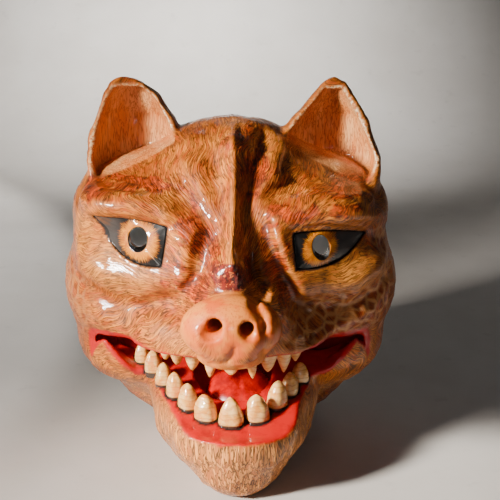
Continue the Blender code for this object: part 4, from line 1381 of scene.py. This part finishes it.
def ivory_paint():
    g = Graph("ivory_gloss")
    up, _, seed = g.attribute("tooth")
    place = g.place()
    wobble = g.noise(g.stretch(place, (120.0, 120.0, 160.0)), 1.0, 2.0)
    rings = g.math("SINE", g.plus(g.times(up, 38.0), g.plus(g.times(wobble, 11.0), g.times(seed, 1.7))))
    colour = g.cloud(place, 150.0, 0.4, 0.66, "#E8B870", "#D8903C", 0.6)
    colour = g.coat(colour, "#B06428", 0.45, rings, 0.55, 1.0)
    colour = g.coat(colour, "#D8701E", 0.65, g.noise(place, 95.0, 3.0, 0.6), 0.54, 0.68)
    colour = g.mix(g.span(up, 0.26, 0.2), colour, "#3A2A20")
    return g.shade(
        Base_Color=colour,
        Roughness=g.span(wobble, 0.3, 0.7, 0.22, 0.36),
        Normal=g.bump(rings, 0.00012, 0.35, g.bump(wobble, 0.0004, 0.5)),
        Coat_Weight=0.8,
        Coat_Roughness=0.07,
        Subsurface_Weight=0.08,
        Subsurface_Scale=0.002,
    )


def tongue_paint():
    g = Graph("red_lacquer")
    place = g.place()
    blotch = g.noise(place, 120.0, 3.0, 0.6)
    colour = g.mix(g.span(blotch, 0.38, 0.68), "#B80200", "#860200")
    return g.shade(
        Base_Color=colour,
        Roughness=g.span(blotch, 0.3, 0.7, 0.16, 0.3),
        Normal=g.bump(g.noise(place, 420.0, 2.0), 0.0003, 0.35),
        Coat_Weight=0.6,
        Coat_Roughness=0.06,
    )


def floor_paint():
    g = Graph("pale_ground")
    place = g.place()
    cloud = g.noise(place, 4.0, 4.0, 0.6)
    specks = g.noise(place, 60.0, 3.0, 0.6)
    colour = g.mix(g.span(cloud, 0.35, 0.65), "#CFCAC4", "#C2BCB5")
    colour = g.coat(colour, "#A8A29C", 0.25, specks, 0.6, 0.75)
    return g.shade(Base_Color=colour, Roughness=0.85, Normal=g.bump(specks, 0.0008, 0.25))


def sweep():
    """A floor that curves up into a wall well behind the mask."""
    near, back, bend, high, half = -2.5, 1.05, 0.45, 2.4, 3.0
    line = [(near, 0.0), (back - bend, 0.0)]
    for k in range(1, 17):
        angle = k / 16 * math.pi / 2
        line.append((back - bend + math.sin(angle) * bend, bend - math.cos(angle) * bend))
    line.append((back, high))
    points = [(x, y, z - 0.0002) for y, z in line for x in (-half, half)]
    faces = [(2 * k, 2 * k + 1, 2 * k + 3, 2 * k + 2) for k in range(len(line) - 1)]
    return add_piece("ground", points, faces, floor_paint())


# Lamps: where each stands and aims, its size in metres, its power, colour and spread in degrees.
Lamp = namedtuple("Lamp", "name kind place aim size power colour spread")
LAMPS = [
    Lamp("key", "AREA", (-0.66, -0.5, 0.44), (-0.02, -0.13, 0.12), 0.13, 1.7, (1.0, 0.95, 0.88), 36.0),
    Lamp("fill", "AREA", (0.0, -1.4, 0.4), (0.0, 0.0, 0.1), 0.22, 1.0, (0.94, 0.96, 1.0), 180.0),
    Lamp("ground", "SPOT", (-0.7, 0.5, 0.8), (-0.7, 0.3, 0.0), 0.02, 42.0, (1.0, 0.98, 0.95), 71.5),
    Lamp("far_ground", "AREA", (-0.08, 1.1, 1.3), (-0.08, 1.02, 0.0), 0.2, 12.0, (1.0, 0.98, 0.95), 40.0),
    Lamp("behind", "AREA", (0.35, 1.5, 0.42), (0.0, 0.03, 0.12), 0.3, 0.7, (1.0, 0.97, 0.93), 20.0),
]
SPOT_BLEND = 0.08
SKY_COLOUR = (0.82, 0.86, 0.92, 1.0)
SKY_STRENGTH = 0.06
CAMERA_AIM = Vector((0.012, 0.0, 0.1229))
CAMERA_RISE = math.radians(18.0)
CAMERA_REACH = 0.75
CAMERA_LENS = 90.0
CAMERA_SENSOR = 36.0


def aimed(name, data, place, aim):
    item = bpy.data.objects.new(name, data)
    item.location = place
    item.rotation_euler = (Vector(aim) - Vector(place)).to_track_quat("-Z", "Y").to_euler()
    bpy.context.scene.collection.objects.link(item)
    return item


def add_camera():
    data = bpy.data.cameras.new("camera")
    data.lens = CAMERA_LENS
    data.sensor_width = CAMERA_SENSOR
    away = Vector((0.0, -math.cos(CAMERA_RISE), math.sin(CAMERA_RISE)))
    bpy.context.scene.camera = aimed("camera", data, CAMERA_AIM + away * CAMERA_REACH, CAMERA_AIM)


def add_lights():
    for lamp in LAMPS:
        light = bpy.data.lights.new(lamp.name, lamp.kind)
        if lamp.kind == "AREA":
            light.size = lamp.size
            light.spread = math.radians(lamp.spread)
        else:
            light.shadow_soft_size = lamp.size
            light.spot_size = math.radians(lamp.spread)
            light.spot_blend = SPOT_BLEND
        light.energy = lamp.power
        light.color = lamp.colour
        aimed(lamp.name, light, lamp.place, lamp.aim)
    world = bpy.data.worlds.new("studio")
    bpy.context.scene.world = world
    world.use_nodes = True
    shade = world.node_tree.nodes["Background"]
    shade.inputs["Color"].default_value = SKY_COLOUR
    shade.inputs["Strength"].default_value = SKY_STRENGTH


def build():
    fur, wood = skin_paint(), hollow_paint()
    skin_piece, hollow_piece = build_skin(fur, wood)
    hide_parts("face_shell")
    made = [(skin_piece, "fur_paint"), (hollow_piece, "fur_paint")]
    gloss = eye_paint()
    for eye in EYES:
        item = build_eye(eye, gloss)
        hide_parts(eye.node)
        made.append((item, "eye_paint"))
    ivory = ivory_paint()
    for rows, way, name in ((LOWER_TEETH, 1, "lower"), (UPPER_TEETH, -1, "upper")):
        for number, row in enumerate(rows, 1):
            points, faces, shares = tooth_mesh(row, way, number + (0 if way > 0 else 20))
            item = add_piece(f"{name}_ivory_{number}", points, faces, ivory, {"tooth": shares})
            face_normals_out(item)
            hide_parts(f"{name}_tooth_{number}")
            made.append((item, "ivory_paint"))
    top = build_tongue(tongue_paint())
    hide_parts("tongue")
    made.append((top, "tongue_paint"))
    for item, slot in made:
        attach(item, "root")
    sweep()
    add_camera()
    add_lights()


build()
